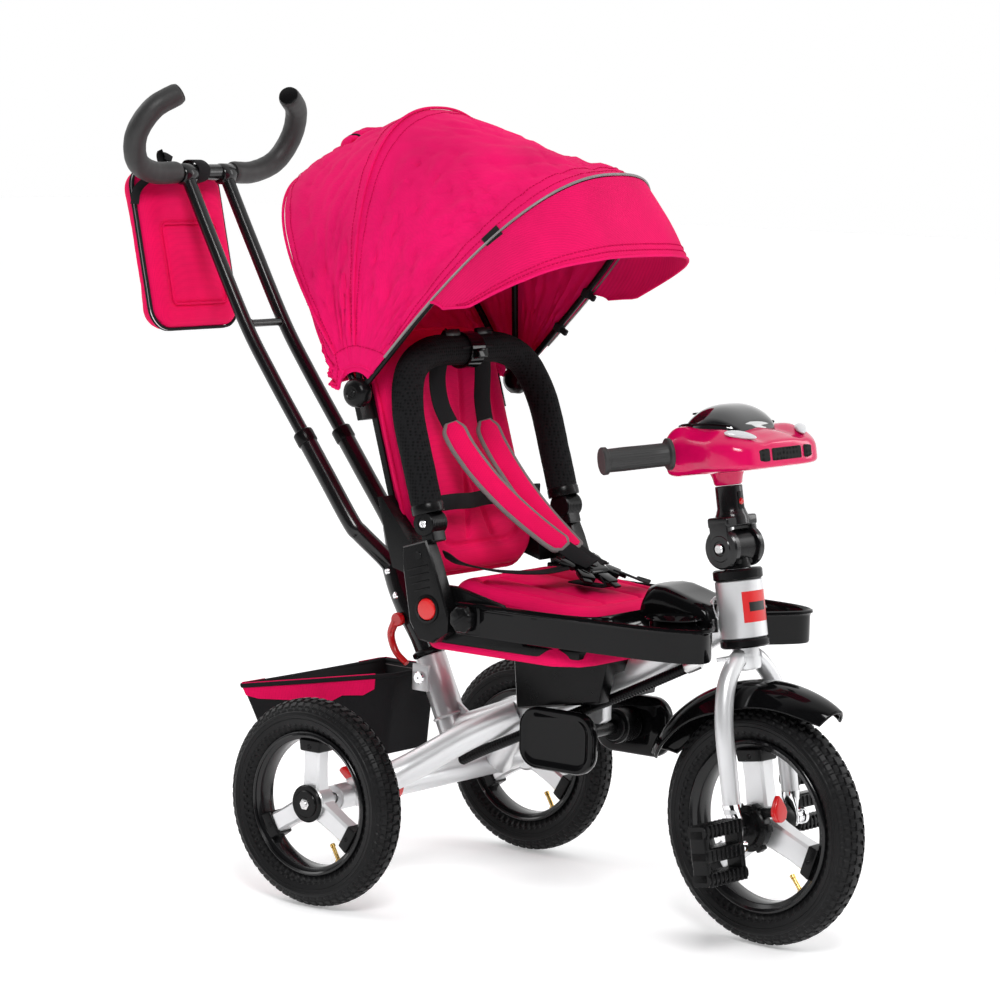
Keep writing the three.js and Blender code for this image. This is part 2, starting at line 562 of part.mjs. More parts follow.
function addCanopy() {
  const rear = new THREE.Group();
  rear.position.set(0, -seatPivot.y, -seatPivot.z);
  const frame = new THREE.Group();
  frame.rotation.x = radians(backTilt);
  frame.add(rear);
  backrest.add(frame);
  const rows = [-82, -66, -54, -45, rearBow.angle, -24, -12, middleBow.angle - 0.3];
  const back = (u, v) => {
    const angle = rows[Math.round(u * (rows.length - 1))];
    const part = (angle - rearBow.angle) / (middleBow.angle - rearBow.angle);
    const reach = part < 0 ? rearFall(angle) : rearBow.reach + (middleBow.reach - rearBow.reach) * part;
    return bowPoint({ angle, reach, square: middleBow.square }, v);
  };
  addPart(rear, 'canopy_back', thickSheet(back, rows.length - 1, 14, 2.5), 'pink', 0.85);
  const front = (u, v) => {
    const bow = betweenBows(middleBow, frontBow, u);
    // Stretched cloth is straight between the two bows, inside the arc through them.
    return bowPoint({ ...bow, reach: bow.reach - frontSag * 4 * u * (1 - u) }, v);
  };
  addPart(rear, 'canopy_front', thickSheet(front, 4, 14, 2.5), 'pink', 0.85);
  const visor = (u, v) => {
    const across = 0.1 + 0.8 * v;
    // The loose edge hangs lower in the middle than at the sides.
    const lift = 12 * (1 - Math.sin(Math.PI * across) ** 0.3);
    const edge = { ...visorEdge, angle: visorEdge.angle - lift };
    return bowPoint({ ...frontBow, angle: frontBow.angle + 0.6 }, across).lerp(bowPoint(edge, across), u);
  };
  addPart(rear, 'canopy_visor', thickSheet(visor, 3, 14, 2.5), 'pink', 0.85);
  for (const [side, name] of [[-1, 'right'], [1, 'left']]) {
    const ball = turned([[0, -13], [11, -13], [18, -6], [19, 4], [14, 12], [0, 12]], 18, false);
    ball.translate(side * (canopyPivot.x - 4), canopyPivot.y, canopyPivot.z);
    addPart(rear, `canopy_knob_${name}`, ball, 'black', 0.45);
  }
}

// ---------------------------------------------------------------- guard tray
const cup = { x: 70, y: 92 };

function addGuardTray() {
  const half = [[154, 356], [150, 250], [143, 96], [132, 44], [112, 17], [98, 20], [36, 64]];
  const outside = [...half.map(([x, y]) => [-x, y]), ...half.reverse()];
  const ring = levelPlate(outside, 350, 42);
  const legHalf = [[140, 380], [138, 250], [128, 168]];
  const legRoom = levelPlate([...legHalf.map(([x, y]) => [-x, y]), ...legHalf.reverse()], 330, 90);
  const cups = [-1, 1].map((side) => rod(29, [side * cup.x, cup.y, 356], [side * cup.x, cup.y, 420], 20));
  const hollow = levelPlate([[-46, 104], [46, 104], [100, 128], [118, 160], [-118, 160], [-100, 128]], 330, 46);
  const lean = Math.sin(radians(rake));
  const headRoom = rod(headRadius + 3, [0, (330 - 145) * lean, 330], [0, (446 - 145) * lean, 446], 28);
  const hump = sidePlate([[66, 391], [70, 404], [140, 427], [158, 420], [166, 391]], -34, 68);
  const spineRoom = bentBar(19, spine, 8, 12);
  const tray = cut(join(ring, hump), legRoom, ...cups, hollow, headRoom, spineRoom);
  addPart(body, 'guard_tray', tray, 'gloss', 0.12);
  for (const [side, name] of [[-1, 'right'], [1, 'left']]) {
    const knob = turned([[0, 0], [15, 0], [17, 3], [17, 9], [14, 12], [0, 12]], 20, false);
    if (side < 0) knob.rotateZ(Math.PI);
    addPart(body, `tray_knob_${name}`, knob.translate(side * 154.5, 340, 372), 'black', 0.45);
  }
}

// ---------------------------------------------------------------- push handle
const hornRoute = [[53, 920, 892], [98, 921, 892.5], [136, 914, 908], [152, 900, 942], [140, 882, 976],
  [108, 868, 996]];

// A point on a pole's lower axis: distance is measured up from the collars.
function polePoint(x, distance) {
  const [sine, cosine] = [Math.sin(radians(poleLean)), Math.cos(radians(poleLean))];
  return [x, poleCollar.y + distance * sine, poleCollar.z + distance * cosine];
}

function addPushHandle() {
  const sleeves = [-1, 1].map((side) => {
    const x = side * poleHalfGap;
    const straight = rod(12, polePoint(x, 0), polePoint(x, -sleeveDepth - 6), 12);
    const collar = rod(13.5, polePoint(x, -10), polePoint(x, 8), 16);
    const bend = bentBar(12, [polePoint(x, -sleeveDepth), polePoint(x * 0.8, -sleeveDepth - 18),
      [x * 0.3, 586, 408], [0, 578, 392]], 5);
    return join(straight, collar, bend);
  });
  const stalk = join(bentBar(15, [[0, 582, 402], [0, 568, 368], [0, 556, 350]], 3, 12),
    bentBar(17, [[0, 568, 368], [0, 545, 334], [0, 519.5, 295.5]], 3, 12),
    rod(22, [0, 516.6, 289.2], [0, 519.5, 295.5], 20),
    rod(16, [0, 519.5, 295.5], [0, socketFoot.y + 4, socketFoot.z + 8.6], 20));
  const bores = [-1, 1].map((side) => rod(9.4, polePoint(side * poleHalfGap, 20),
    polePoint(side * poleHalfGap, -sleeveDepth), 16));
  addPart(body, 'push_tube', cut(join(...sleeves, stalk), ...bores), 'black', 0.4);
  const poles = [-1, 1].map((side) => {
    const x = side * poleHalfGap;
    return join(rod(9, polePoint(x, -poleInsertion), polePoint(x, 100), 12),
      bentBar(9, [polePoint(x, 96), polePoint(x, 120), [x, rungPoint.y, rungPoint.z], [x, 866, 798],
        [x, poleTop.y, poleTop.z]], 6));
  });
  const rung = rod(5, [-poleHalfGap, rungPoint.y, rungPoint.z], [poleHalfGap, rungPoint.y, rungPoint.z], 10);
  const crossbar = rod(11, [-52, poleTop.y, poleTop.z], [52, poleTop.y, poleTop.z], 16);
  addPart(body, 'push_poles', join(...poles, rung, crossbar), 'black', 0.35);
  for (const [side, name] of [[-1, 'right'], [1, 'left']]) {
    const horn = hornRoute.map(([x, y, z]) => [side * x, y, z]);
    addPart(body, `push_grip_${name}`, bentBar(15, horn, 10), 'foam', 0.85);
  }
  const lever = bentBar(5, [[-23.4, 556, 331], [-23.4, 562, 312], [-23.4, 552, 290], [-23.4, 535, 278]], 6, 8);
  const boss = rod(9, [-19, 552, 333], [-28, 552, 333], 16);
  addPart(body, 'release_lever', join(lever, boss), 'red', 0.35);
}

function addBag() {
  const bag = cushion(bagSize.width, bagSize.height, bagSize.depth, 30, 8);
  bag.rotateX(Math.PI / 2 - radians(bagLean)).translate(-23, 946, 790);
  addPart(body, 'bag', bag, 'pink', 0.85);
}

// ---------------------------------------------------------------- rear basket and brake
function addBasket() {
  const wall = 3;
  const shell = (inset) => {
    const rearTop = [150 - inset, 716 - inset];
    const frontTop = [46 - inset * 0.5, 540 + inset];
    const rearLow = [132 - inset, 700 - inset];
    const frontLow = [46 - inset * 0.5, 552 + inset];
    const floor = inset ? wall : 0;
    const lift = inset ? 30 : 0;
    const ring = (rear, front, zRear, zFront) => [[-rear[0], rear[1], zRear], [rear[0], rear[1], zRear],
      [front[0], front[1], zFront], [-front[0], front[1], zFront]];
    const top = ring(rearTop, frontTop, 243 + lift, 266 + lift);
    const low = ring(rearLow, frontLow, 192 + floor, 160 + floor);
    return { top, low };
  };
  const prism = ({ top, low }) => {
    const geometry = new THREE.BufferGeometry();
    geometry.setAttribute('position', new THREE.Float32BufferAttribute([...low, ...top].flat(), 3));
    geometry.setIndex([0, 2, 1, 0, 3, 2, 4, 5, 6, 4, 6, 7, 0, 1, 5, 0, 5, 4,
      1, 2, 6, 1, 6, 5, 2, 3, 7, 2, 7, 6, 3, 0, 4, 3, 4, 7]);
    return geometry;
  };
  addPart(body, 'basket', cut(prism(shell(0)), prism(shell(wall))), 'black', 0.9);
}

function addBrake() {
  const [y, z] = [wheelbase, rearWheel.radius];
  const sleeve = turned([[16.4, -17], [20, -17], [20, 17], [16.4, 17]], 20).translate(-88, y, z);
  const pedal = sidePlate([[17, -6], [44, 0], [62, 14], [58, 19], [38, 10], [17, 6]], -104, 32)
    .translate(0, y, z);
  addPart(body, 'brake_pedal', join(sleeve, pedal), 'red', 0.35);
}

// ---------------------------------------------------------------- footrests
const footPivot = { y: 252, z: 226 };

function addFootrests() {
  const hub = rod(9, [-34, footPivot.y, footPivot.z], [34, footPivot.y, footPivot.z], 16);
  const drums = [-1, 1].map((side) => rod(22, [side * 34, footPivot.y, footPivot.z],
    [side * 70, footPivot.y, footPivot.z], 20));
  addPart(body, 'footrest_bracket', cut(join(hub, ...drums), box(20.8, 40, 60, 0, 253.5, 262.4)), 'black', 0.5);
  for (const [side, name] of [[-1, 'right'], [1, 'left']]) {
    const paddle = sidePlate(roundedOutline(112, 76, 26), side > 0 ? 72 : -88, 16, 3).translate(0, 250, 224);
    addPart(body, `footrest_${name}`, paddle, 'black', 0.55);
  }
}

addRearWheels();
addFrontWheel();
addCranksAndPedals();
addFork();
addFender();
addStem();
addConsole();
addFrame();
addSteeringConduit();
addSeat();
addBackrest();
addBumperBar();
addCanopy();
addGuardTray();
addPushHandle();
addBag();
addBasket();
addBrake();
addFootrests();

export default tricycle;
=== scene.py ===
"""Children's push tricycle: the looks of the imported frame's parts, and the studio round them.

Shapes are written in millimetres. The placing matrices turn them into metres: WORLD has its
zero on the ground under the front axle, STEER on the front axle with Z up the steering axis,
and BACK on the recline axis with Z up the backrest. The rider's right is -X and the rear +Y.
"""
import math

import bmesh
import bpy
import numpy as np
from mathutils import Matrix, Vector, noise


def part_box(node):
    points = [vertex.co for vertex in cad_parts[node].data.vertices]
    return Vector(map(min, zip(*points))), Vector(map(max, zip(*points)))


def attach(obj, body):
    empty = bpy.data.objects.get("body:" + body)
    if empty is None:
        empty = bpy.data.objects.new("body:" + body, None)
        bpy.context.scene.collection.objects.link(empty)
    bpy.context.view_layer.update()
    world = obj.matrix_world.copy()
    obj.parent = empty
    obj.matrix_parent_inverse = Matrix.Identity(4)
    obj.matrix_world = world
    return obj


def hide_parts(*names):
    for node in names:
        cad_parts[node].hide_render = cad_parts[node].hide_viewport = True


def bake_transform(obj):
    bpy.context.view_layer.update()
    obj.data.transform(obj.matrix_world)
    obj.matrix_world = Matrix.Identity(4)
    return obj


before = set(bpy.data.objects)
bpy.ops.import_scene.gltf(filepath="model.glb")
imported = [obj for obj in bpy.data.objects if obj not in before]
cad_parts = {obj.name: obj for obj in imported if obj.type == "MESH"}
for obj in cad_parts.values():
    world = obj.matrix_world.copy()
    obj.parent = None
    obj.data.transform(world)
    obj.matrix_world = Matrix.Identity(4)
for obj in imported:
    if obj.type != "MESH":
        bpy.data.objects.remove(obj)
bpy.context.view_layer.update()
scene = bpy.context.scene

# ------------------------------------------------------------------ places
WHEELBASE = 517
FRONT_RADIUS, REAR_RADIUS = 145, 130
HALF_TRACK = 220
RAKE, PARKED_STEER, BACK_TILT = 9.4, -6.0, 17.0
FRONT_Y = sum(corner[1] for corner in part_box("rear_tyre_right")) / 2 - WHEELBASE / 1000
RECLINE_Y, RECLINE_Z = 396, 378
MM = Matrix.Scale(0.001, 4)
SIDES = ((-1, "right"), (1, "left"))


def turn(degrees, axis):
    return Matrix.Rotation(math.radians(degrees), 4, axis)


WORLD = Matrix.Translation((0, FRONT_Y, 0)) @ MM
STEER = (Matrix.Translation((0, FRONT_Y, FRONT_RADIUS / 1000))
         @ turn(-RAKE, "X") @ turn(PARKED_STEER, "Z") @ MM)
BACK = (Matrix.Translation((0, FRONT_Y + RECLINE_Y / 1000, RECLINE_Z / 1000))
        @ turn(-BACK_TILT, "X") @ MM)


def shifted(matrix, x=0, y=0, z=0):
    return matrix @ Matrix.Translation((x, y, z))


# ------------------------------------------------------------------ camera and light
def make_camera():
    data = bpy.data.cameras.new("camera")
    data.lens = 121.74
    data.sensor_width = 36
    data.clip_end = 50
    camera = bpy.data.objects.new("camera", data)
    right = Vector((0.61133, -0.79101, 0.02399))
    up = Vector((0.07849, 0.09077, 0.99277))
    forward = Vector((0.78747, 0.60503, -0.11758))
    camera.matrix_world = Matrix.Translation((-3.34527, -2.16052 + FRONT_Y, 0.99792)) @ Matrix(
        (right, up, -forward)).transposed().to_4x4()
    scene.collection.objects.link(camera)
    scene.camera = camera


def area_light(name, place, target, size, power):
    data = bpy.data.lights.new(name, "AREA")
    data.shape = "RECTANGLE"
    data.size, data.size_y = size
    data.energy = power
    light = bpy.data.objects.new(name, data)
    light.location = place
    light.rotation_euler = (Vector(target) - Vector(place)).to_track_quat("-Z", "Y").to_euler()
    scene.collection.objects.link(light)


def make_studio():
    world = bpy.data.worlds.new("studio")
    world.use_nodes = True
    tree = world.node_tree
    tree.nodes["Background"].inputs["Strength"].default_value = 1.0
    # The studio is white all round, and dimmer on the side that the lamps stand on.
    coords = tree.nodes.new("ShaderNodeTexCoord")
    dot = tree.nodes.new("ShaderNodeVectorMath")
    dot.operation = "DOT_PRODUCT"
    dot.inputs[1].default_value = (-0.93, -0.33, -0.15)
    ramp = tree.nodes.new("ShaderNodeValToRGB")
    ramp.color_ramp.elements[0].position = 0.0
    ramp.color_ramp.elements[1].position = 0.42
    ramp.color_ramp.elements[0].color = (1, 1, 1, 1)
    ramp.color_ramp.elements[1].color = (0.10, 0.10, 0.105, 1)
    tree.links.new(coords.outputs["Generated"], dot.inputs[0])
    tree.links.new(dot.outputs["Value"], ramp.inputs["Fac"])
    tree.links.new(ramp.outputs["Color"], tree.nodes["Background"].inputs["Color"])
    scene.world = world
    scene.view_settings.view_transform = "Standard"
    area_light("key", (-2.2, -2.0, 2.8), (0, 0, 0.4), (1.3, 1.0), 85)
    area_light("fill", (2.6, -2.2, 1.8), (0, 0, 0.4), (0.6, 2.2), 22)
    area_light("back", (-0.6, 2.8, 2.4), (0, 0, 0.5), (2.2, 1.4), 22)
    bpy.ops.mesh.primitive_plane_add(size=40, location=(0, 0, -0.0005))
    floor = bpy.context.object
    floor.name = "floor"
    floor.data.materials.append(plain("floor", (0.93, 0.93, 0.935), 0.7))
    glow = floor.data.materials[0].node_tree.nodes["Principled BSDF"]
    glow.inputs["Emission Color"].default_value = (1, 1, 1, 1)
    glow.inputs["Emission Strength"].default_value = 0.3


# ------------------------------------------------------------------ materials
class Shader:
    """A material's node tree, with a short way to add and join nodes."""

    def __init__(self, name):
        self.material = bpy.data.materials.new(name)
        self.material.use_nodes = True
        self.tree = self.material.node_tree
        self.surface = self.tree.nodes["Principled BSDF"]
        self.coords = self.tree.nodes.new("ShaderNodeTexCoord")

    def node(self, kind, settings=None, **inputs):
        node = self.tree.nodes.new(kind)
        for key, value in (settings or {}).items():
            setattr(node, key, value)
        for key, value in inputs.items():
            self.join(value, node.inputs[key.replace("_", " ")])
        return node

    def join(self, value, socket):
        if isinstance(value, bpy.types.NodeSocket):
            self.tree.links.new(value, socket)
        else:
            socket.default_value = value

    def noise(self, scale, detail=3.0):
        node = self.node("ShaderNodeTexNoise", Scale=scale, Detail=detail, Roughness=0.55)
        self.join(self.coords.outputs["Object"], node.inputs["Vector"])
        return node.outputs["Fac"]

    def bands(self, scale, direction):
        node = self.node("ShaderNodeTexWave", {"bands_direction": direction}, Scale=scale)
        self.join(self.coords.outputs["Object"], node.inputs["Vector"])
        return node.outputs["Fac"]

    def spread(self, value, low, high):
        node = self.node("ShaderNodeMapRange", Value=value)
        node.inputs["To Min"].default_value = low
        node.inputs["To Max"].default_value = high
        return node.outputs["Result"]

    def maths(self, operation, a, b=0.0):
        node = self.node("ShaderNodeMath", {"operation": operation})
        self.join(a, node.inputs[0])
        self.join(b, node.inputs[1])
        return node.outputs[0]

    def ramp(self, value, low, high, start=0.3, end=0.7):
        node = self.node("ShaderNodeValToRGB", Fac=value)
        node.color_ramp.elements[0].position = start
        node.color_ramp.elements[1].position = end
        node.color_ramp.elements[0].color = (*low, 1)
        node.color_ramp.elements[1].color = (*high, 1)
        return node.outputs["Color"]

    def bump(self, height, strength, distance=0.001):
        node = self.node("ShaderNodeBump", Strength=strength, Distance=distance, Height=height)
        self.join(node.outputs["Normal"], self.surface.inputs["Normal"])

    def set(self, **values):
        for key, value in values.items():
            self.join(value, self.surface.inputs[key.replace("_", " ")])
        return self


def shade(colour, factor):
    return tuple(min(1.0, c * factor) for c in colour)


def plain(name, colour, roughness, shine=0.5):
    shader = Shader(name)
    tint = shader.ramp(shader.noise(3), shade(colour, 0.985), shade(colour, 1.01))
    shader.set(Base_Color=tint, Roughness=roughness, Specular_IOR_Level=shine)
    return shader.material


def hard(name, colour, roughness, metallic=0.0, grain=0.0, grain_scale=900, coat=0.0, vary=0.12, shine=0.5):
    """Paint, metal or moulded plastic: a little uneven in colour and gloss, with a fine grain."""
    shader = Shader(name)
    tint = shader.ramp(shader.noise(14, 5), shade(colour, 1 - vary), shade(colour, 1 + vary))
    gloss = shader.spread(shader.noise(45, 4), roughness * 0.8, min(1.0, roughness * 1.25))
    shader.set(Base_Color=tint, Roughness=gloss, Metallic=metallic, Specular_IOR_Level=shine)
    if coat:
        shader.set(Coat_Weight=coat, Coat_Roughness=0.06)
    if grain:
        shader.bump(shader.noise(grain_scale, 2), grain, 0.0004)
    return shader.material


def cloth(name, colour, pitch=0.0022, sheen=0.08, depth=0.35, vary=0.13, twill=False):
    """Woven cloth: two crossing sets of threads, soft wear in the colour and a sheen."""
    shader = Shader(name)
    scale = 2 * math.pi / (20 * pitch)
    if twill:
        threads = shader.bands(scale, "DIAGONAL")
    else:
        threads = shader.maths("ADD", shader.bands(scale, "X"), shader.maths(
            "ADD", shader.bands(scale, "Y"), shader.bands(scale, "Z")))
        threads = shader.maths("MULTIPLY", threads, 0.34)
    cloud = shader.noise(9, 5)
    base = shader.ramp(cloud, shade(colour, 1 - vary), shade(colour, 1 + vary))
    mix = shader.node("ShaderNodeMix", {"data_type": "RGBA", "blend_type": "MULTIPLY"})
    mix.inputs["Factor"].default_value = 0.3
    shader.join(base, mix.inputs["A"])
    shader.join(shader.ramp(threads, (0.72, 0.72, 0.72), (1.06, 1.06, 1.06), 0.05, 0.6), mix.inputs["B"])
    height = shader.maths("ADD", threads, shader.maths("MULTIPLY", shader.noise(60, 3), 0.8))
    shader.set(Base_Color=mix.outputs["Result"], Roughness=shader.spread(cloud, 0.7, 0.92),
               Sheen_Weight=sheen, Sheen_Roughness=0.4, Specular_IOR_Level=0.12)
    shader.surface.inputs["Sheen Tint"].default_value = (*shade(colour, 1.5), 1)
    shader.bump(height, depth * 0.6, 0.0006)
    return shader.material


def net(name, colour, pitch=0.0032):
    """Knitted spacer mesh: small dark holes between crossing threads."""
    shader = Shader(name)
    cells = shader.node("ShaderNodeTexVoronoi", {"feature": "F1"}, Scale=1 / pitch)
    cells.inputs["Randomness"].default_value = 0.25
    shader.join(shader.coords.outputs["Object"], cells.inputs["Vector"])
    distance = cells.outputs["Distance"]
    tint = shader.ramp(distance, shade(colour, 0.35), shade(colour, 1.7), 0.12, 0.5)
    shader.set(Base_Color=tint, Roughness=0.8, Specular_IOR_Level=0.06)
    shader.bump(distance, 0.7, 0.0012)
    return shader.material


PINK = (0.76, 0.003, 0.092)
M = {
    "pink_cloth": cloth("pink_cloth", PINK),
    "pink_canopy": cloth("pink_canopy", (0.70, 0.004, 0.112), pitch=0.0016, depth=0.25),
    "pink_visor": cloth("pink_visor", (0.66, 0.004, 0.098), pitch=0.0026, twill=True, depth=0.6),
    "black_cloth": cloth("black_cloth", (0.012, 0.012, 0.013), sheen=0.1),
    "webbing": cloth("webbing", (0.012, 0.012, 0.013), pitch=0.0016, depth=0.6, sheen=0.1),
    "grey_piping": cloth("grey_piping", (0.19, 0.165, 0.165), pitch=0.0014),
    "reflective": hard("reflective", (0.20, 0.19, 0.19), 0.4, 0.3),
    "bumper_net": net("bumper_net", (0.0065, 0.0065, 0.007), 0.0042),
    "foam": hard("foam", (0.022, 0.022, 0.022), 0.5, grain=0.35, grain_scale=700, shine=0.4),
    "rubber": hard("rubber", (0.006, 0.006, 0.0064), 0.45, grain=0.15, grain_scale=500, vary=0.3, shine=0.18),
    "satin": hard("satin", (0.004, 0.004, 0.0043), 0.25, grain=0.08, grain_scale=900, shine=0.16),
    "gloss": hard("gloss", (0.003, 0.003, 0.0033), 0.07, coat=0.12, shine=0.12),
    "rim": hard("rim", (0.004, 0.004, 0.0045), 0.2, coat=0.15, shine=0.3),
    "silver": hard("silver", (0.74, 0.745, 0.755), 0.34, 0.6, coat=0.3, vary=0.02),
    "black_paint": hard("black_paint", (0.006, 0.006, 0.0065), 0.22, 0.0, coat=0.2, shine=0.3),
    "chrome": hard("chrome", (0.86, 0.86, 0.87), 0.08, 1.0, vary=0.04),
    "zinc": hard("zinc", (0.66, 0.66, 0.66), 0.3, 1.0, grain=0.2),
    "brass": hard("brass", (0.75, 0.50, 0.16), 0.25, 1.0),
    "red": hard("red", (0.62, 0.006, 0.008), 0.22, coat=0.4),
    "pink_plastic": hard("pink_plastic", (0.58, 0.002, 0.082), 0.16, coat=0.2, vary=0.04, shine=0.3),
    "window": hard("window", (0.005, 0.005, 0.006), 0.05, coat=1.0),
    "lamp": hard("lamp", (0.55, 0.55, 0.57), 0.12, coat=1.0),
    "grille": net("grille", (0.012, 0.012, 0.012), 0.006),
    "label": hard("label", (0.60, 0.012, 0.014), 0.35, coat=0.3, vary=0.05),
    "label_black": hard("label_black", (0.008, 0.008, 0.008), 0.35, coat=0.3),
    "thread": plain("thread", (0.52, 0.006, 0.075), 1.0, 0.0),
}


# ------------------------------------------------------------------ mesh helpers
def own(piece, body, material, *nodes):
    """Gives a piece its material and body, and hides the CAD nodes that it stands for."""
    if not piece.data.materials:
        piece.data.materials.append(M[material])
    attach(piece, body)
    if nodes:
        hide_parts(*nodes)
    return piece


def finish_mesh(name, bm, matrix, sharp=35):
    """Welds a bmesh, places it and makes it an object, smooth but for edges past the angle."""
    bmesh.ops.remove_doubles(bm, verts=bm.verts, dist=1e-4)
    bmesh.ops.recalc_face_normals(bm, faces=bm.faces)
    bmesh.ops.transform(bm, matrix=matrix, verts=bm.verts)
    return as_object(name, bm, sharp)


def as_object(name, bm, sharp):
    mesh = bpy.data.meshes.new(name)
    bm.to_mesh(mesh)
    bm.free()
    for face in mesh.polygons:
        face.use_smooth = True
    if sharp:
        mesh.set_sharp_from_angle(angle=math.radians(sharp))
    piece = bpy.data.objects.new(name, mesh)
    scene.collection.objects.link(piece)
    return piece


def grid_faces(rows, columns, closed_rows=False, closed_columns=False):
    faces = []
    for i in range(rows if closed_rows else rows - 1):
        for j in range(columns if closed_columns else columns - 1):
            k, m = (i + 1) % rows, (j + 1) % columns
            faces.append((i * columns + j, k * columns + j, k * columns + m, i * columns + m))
    return faces


def from_grid(bm, points, closed_rows=False, closed_columns=False, caps=False):
    """Adds a grid of points, a list of rows, as quads. caps close the two end rows."""
    rows, columns = len(points), len(points[0])
    verts = [bm.verts.new(p) for row in points for p in row]
    for face in grid_faces(rows, columns, closed_rows, closed_columns):
        corners = [verts[i] for i in face]
        if len({tuple(round(c, 4) for c in v.co) for v in corners}) > 2:
            bm.faces.new(corners)
    if caps:
        for row in (verts[:columns], verts[-columns:]):
            if len({tuple(round(c, 3) for c in v.co) for v in row}) > 2:
                bm.faces.new(row)
    return verts


def lathe(bm, profile, segments=48, place=Matrix(), radius_at=None):
    """Turns [radius, x] points about the X axis. A profile that doesn't end on the axis is closed."""
    closed = not (abs(profile[0][0]) < 1e-6 and abs(profile[-1][0]) < 1e-6)
    rings = []
    for k in range(segments):
        angle = 2 * math.pi * k / segments
        ring = []
        for r, x in profile:
            if radius_at:
                r = radius_at(r, x, angle)
            ring.append(place @ Vector((x, r * math.sin(angle), -r * math.cos(angle))))
        rings.append(ring)
    from_grid(bm, rings, closed_rows=True, closed_columns=closed)


def smooth_path(points, per_span=6, closed=False):
    """A Catmull-Rom curve through the points."""
    pts = [Vector(p) for p in points]
    count = len(pts)
    out = []
    for i in range(count if closed else count - 1):
        if closed:
            a, b, c, d = (pts[(i + k) % count] for k in (-1, 0, 1, 2))
        else:
            b, c = pts[i], pts[i + 1]
            a = pts[i - 1] if i else b * 2 - c
            d = pts[i + 2] if i + 2 < count else c * 2 - b
        for k in range(per_span):
            t = k / per_span
            out.append(0.5 * ((2 * b) + (c - a) * t + (2 * a - 5 * b + 4 * c - d) * t * t
                              + (3 * b - a - 3 * c + d) * t ** 3))
    if not closed:
        out.append(pts[-1])
    return out


def path_frames(path, up=None, closed=False):
    """A sideways and an upward direction at each point, turned as little as possible."""
    tangents = []
    for i in range(len(path)):
        before = path[i - 1] if (i or closed) else path[i]
        after = path[(i + 1) % len(path)] if (i < len(path) - 1 or closed) else path[i]
        tangents.append((after - before).normalized())
    first = up or (Vector((0, 0, 1)) if abs(tangents[0].z) < 0.9 else Vector((0, 1, 0)))
    frames = []
    previous = (first - tangents[0] * first.dot(tangents[0])).normalized()
    for tangent in tangents:
        if up:
            previous = up
        previous = (previous - tangent * previous.dot(tangent)).normalized()
        frames.append((tangent.cross(previous), previous))
    return frames


def sweep(bm, points, radius, sides=20, per_span=6, section=None, up=None, closed=False, smooth=True):
    """A bar along a smooth path: round with a radius, or with a section of [side, up] points."""
    path = smooth_path(points, per_span, closed) if smooth else [Vector(p) for p in points]
    frames = path_frames(path, up, closed)
    rows = []
    for i, (p, (side, above)) in enumerate(zip(path, frames)):
        part = i / max(len(path) - 1, 1)
        size = radius(part) if callable(radius) else radius
        outline = section or [(math.cos(2 * math.pi * k / sides), math.sin(2 * math.pi * k / sides))
                              for k in range(sides)]
        rows.append([p + side * (a * size) + above * (b * size) for a, b in outline])
    from_grid(bm, rows, closed_rows=closed, closed_columns=True, caps=not closed)


def extrude(bm, outline, place, thickness, bevel=0.0, segments=2):
    """A plate: the outline's [a, b] points in the place's X and Y, raised along its Z."""
    piece = bmesh.new()
    low = [piece.verts.new((a, b, 0)) for a, b in outline]
    high = [piece.verts.new((a, b, thickness)) for a, b in outline]
    count = len(outline)
    piece.faces.new(low)
    piece.faces.new(high)
    for i in range(count):
        piece.faces.new((low[i], low[(i + 1) % count], high[(i + 1) % count], high[i]))
    bmesh.ops.recalc_face_normals(piece, faces=piece.faces)
    if bevel:
        soften(piece, bevel, segments)
    merge(bm, piece, place)


def soften(piece, bevel, segments=2, angle=35):
    edges = [e for e in piece.edges
             if len(e.link_faces) == 2 and e.calc_face_angle(0) > math.radians(angle)]
    bmesh.ops.bevel(piece, geom=edges, offset=bevel, segments=segments, profile=0.6,
                    affect="EDGES", clamp_overlap=True)


def merge(bm, piece, place=Matrix()):
    """Copies one bmesh into another, placed by a matrix."""
    bmesh.ops.transform(piece, matrix=place, verts=piece.verts)
    mesh = bpy.data.meshes.new("part")
    piece.to_mesh(mesh)
    piece.free()
    bm.from_mesh(mesh)
    bpy.data.meshes.remove(mesh)


def block(bm, size, place=Matrix(), bevel=1.0, segments=2, taper=1.0):
    """A box with rounded edges. taper scales its top face."""
    piece = bmesh.new()
    bmesh.ops.create_cube(piece, size=1)
    for v in piece.verts:
        k = taper if v.co.z > 0 else 1.0
        v.co = Vector((v.co.x * size[0] * k, v.co.y * size[1] * k, v.co.z * size[2]))
    soften(piece, bevel, segments)
    merge(bm, piece, place)


def moved(x=0, y=0, z=0, turned=0, axis="X"):
    return Matrix.Translation((x, y, z)) @ turn(turned, axis)


def outward(side, x, y=0, z=0):
    """A place out to one side of the middle, its X axis looking away from the middle."""
    return Matrix.Translation((side * x, y, z)) @ turn(0 if side > 0 else 180, "Z")


def circle(count):
    return np.linspace(0, 2 * math.pi, count, endpoint=False)


def follow(path, i, across):
    """The direction of a path at a point, and the nearest to across that is square to it."""
    tangent = (path[min(i + 1, len(path) - 1)] - path[max(i - 1, 0)]).normalized()
    return tangent, (across - tangent * across.dot(tangent)).normalized()


def rounded(width, height, radius, per_corner=6):
    """Points round a rounded rectangle, centred on zero."""
    points = []
    for sx, sy, start in ((1, -1, -90), (1, 1, 0), (-1, 1, 90), (-1, -1, 180)):
        for k in range(per_corner + 1):
            angle = math.radians(start + 90 * k / per_corner)
            points.append((sx * (width / 2 - radius) + radius * math.cos(angle),
                           sy * (height / 2 - radius) + radius * math.sin(angle)))
    return points


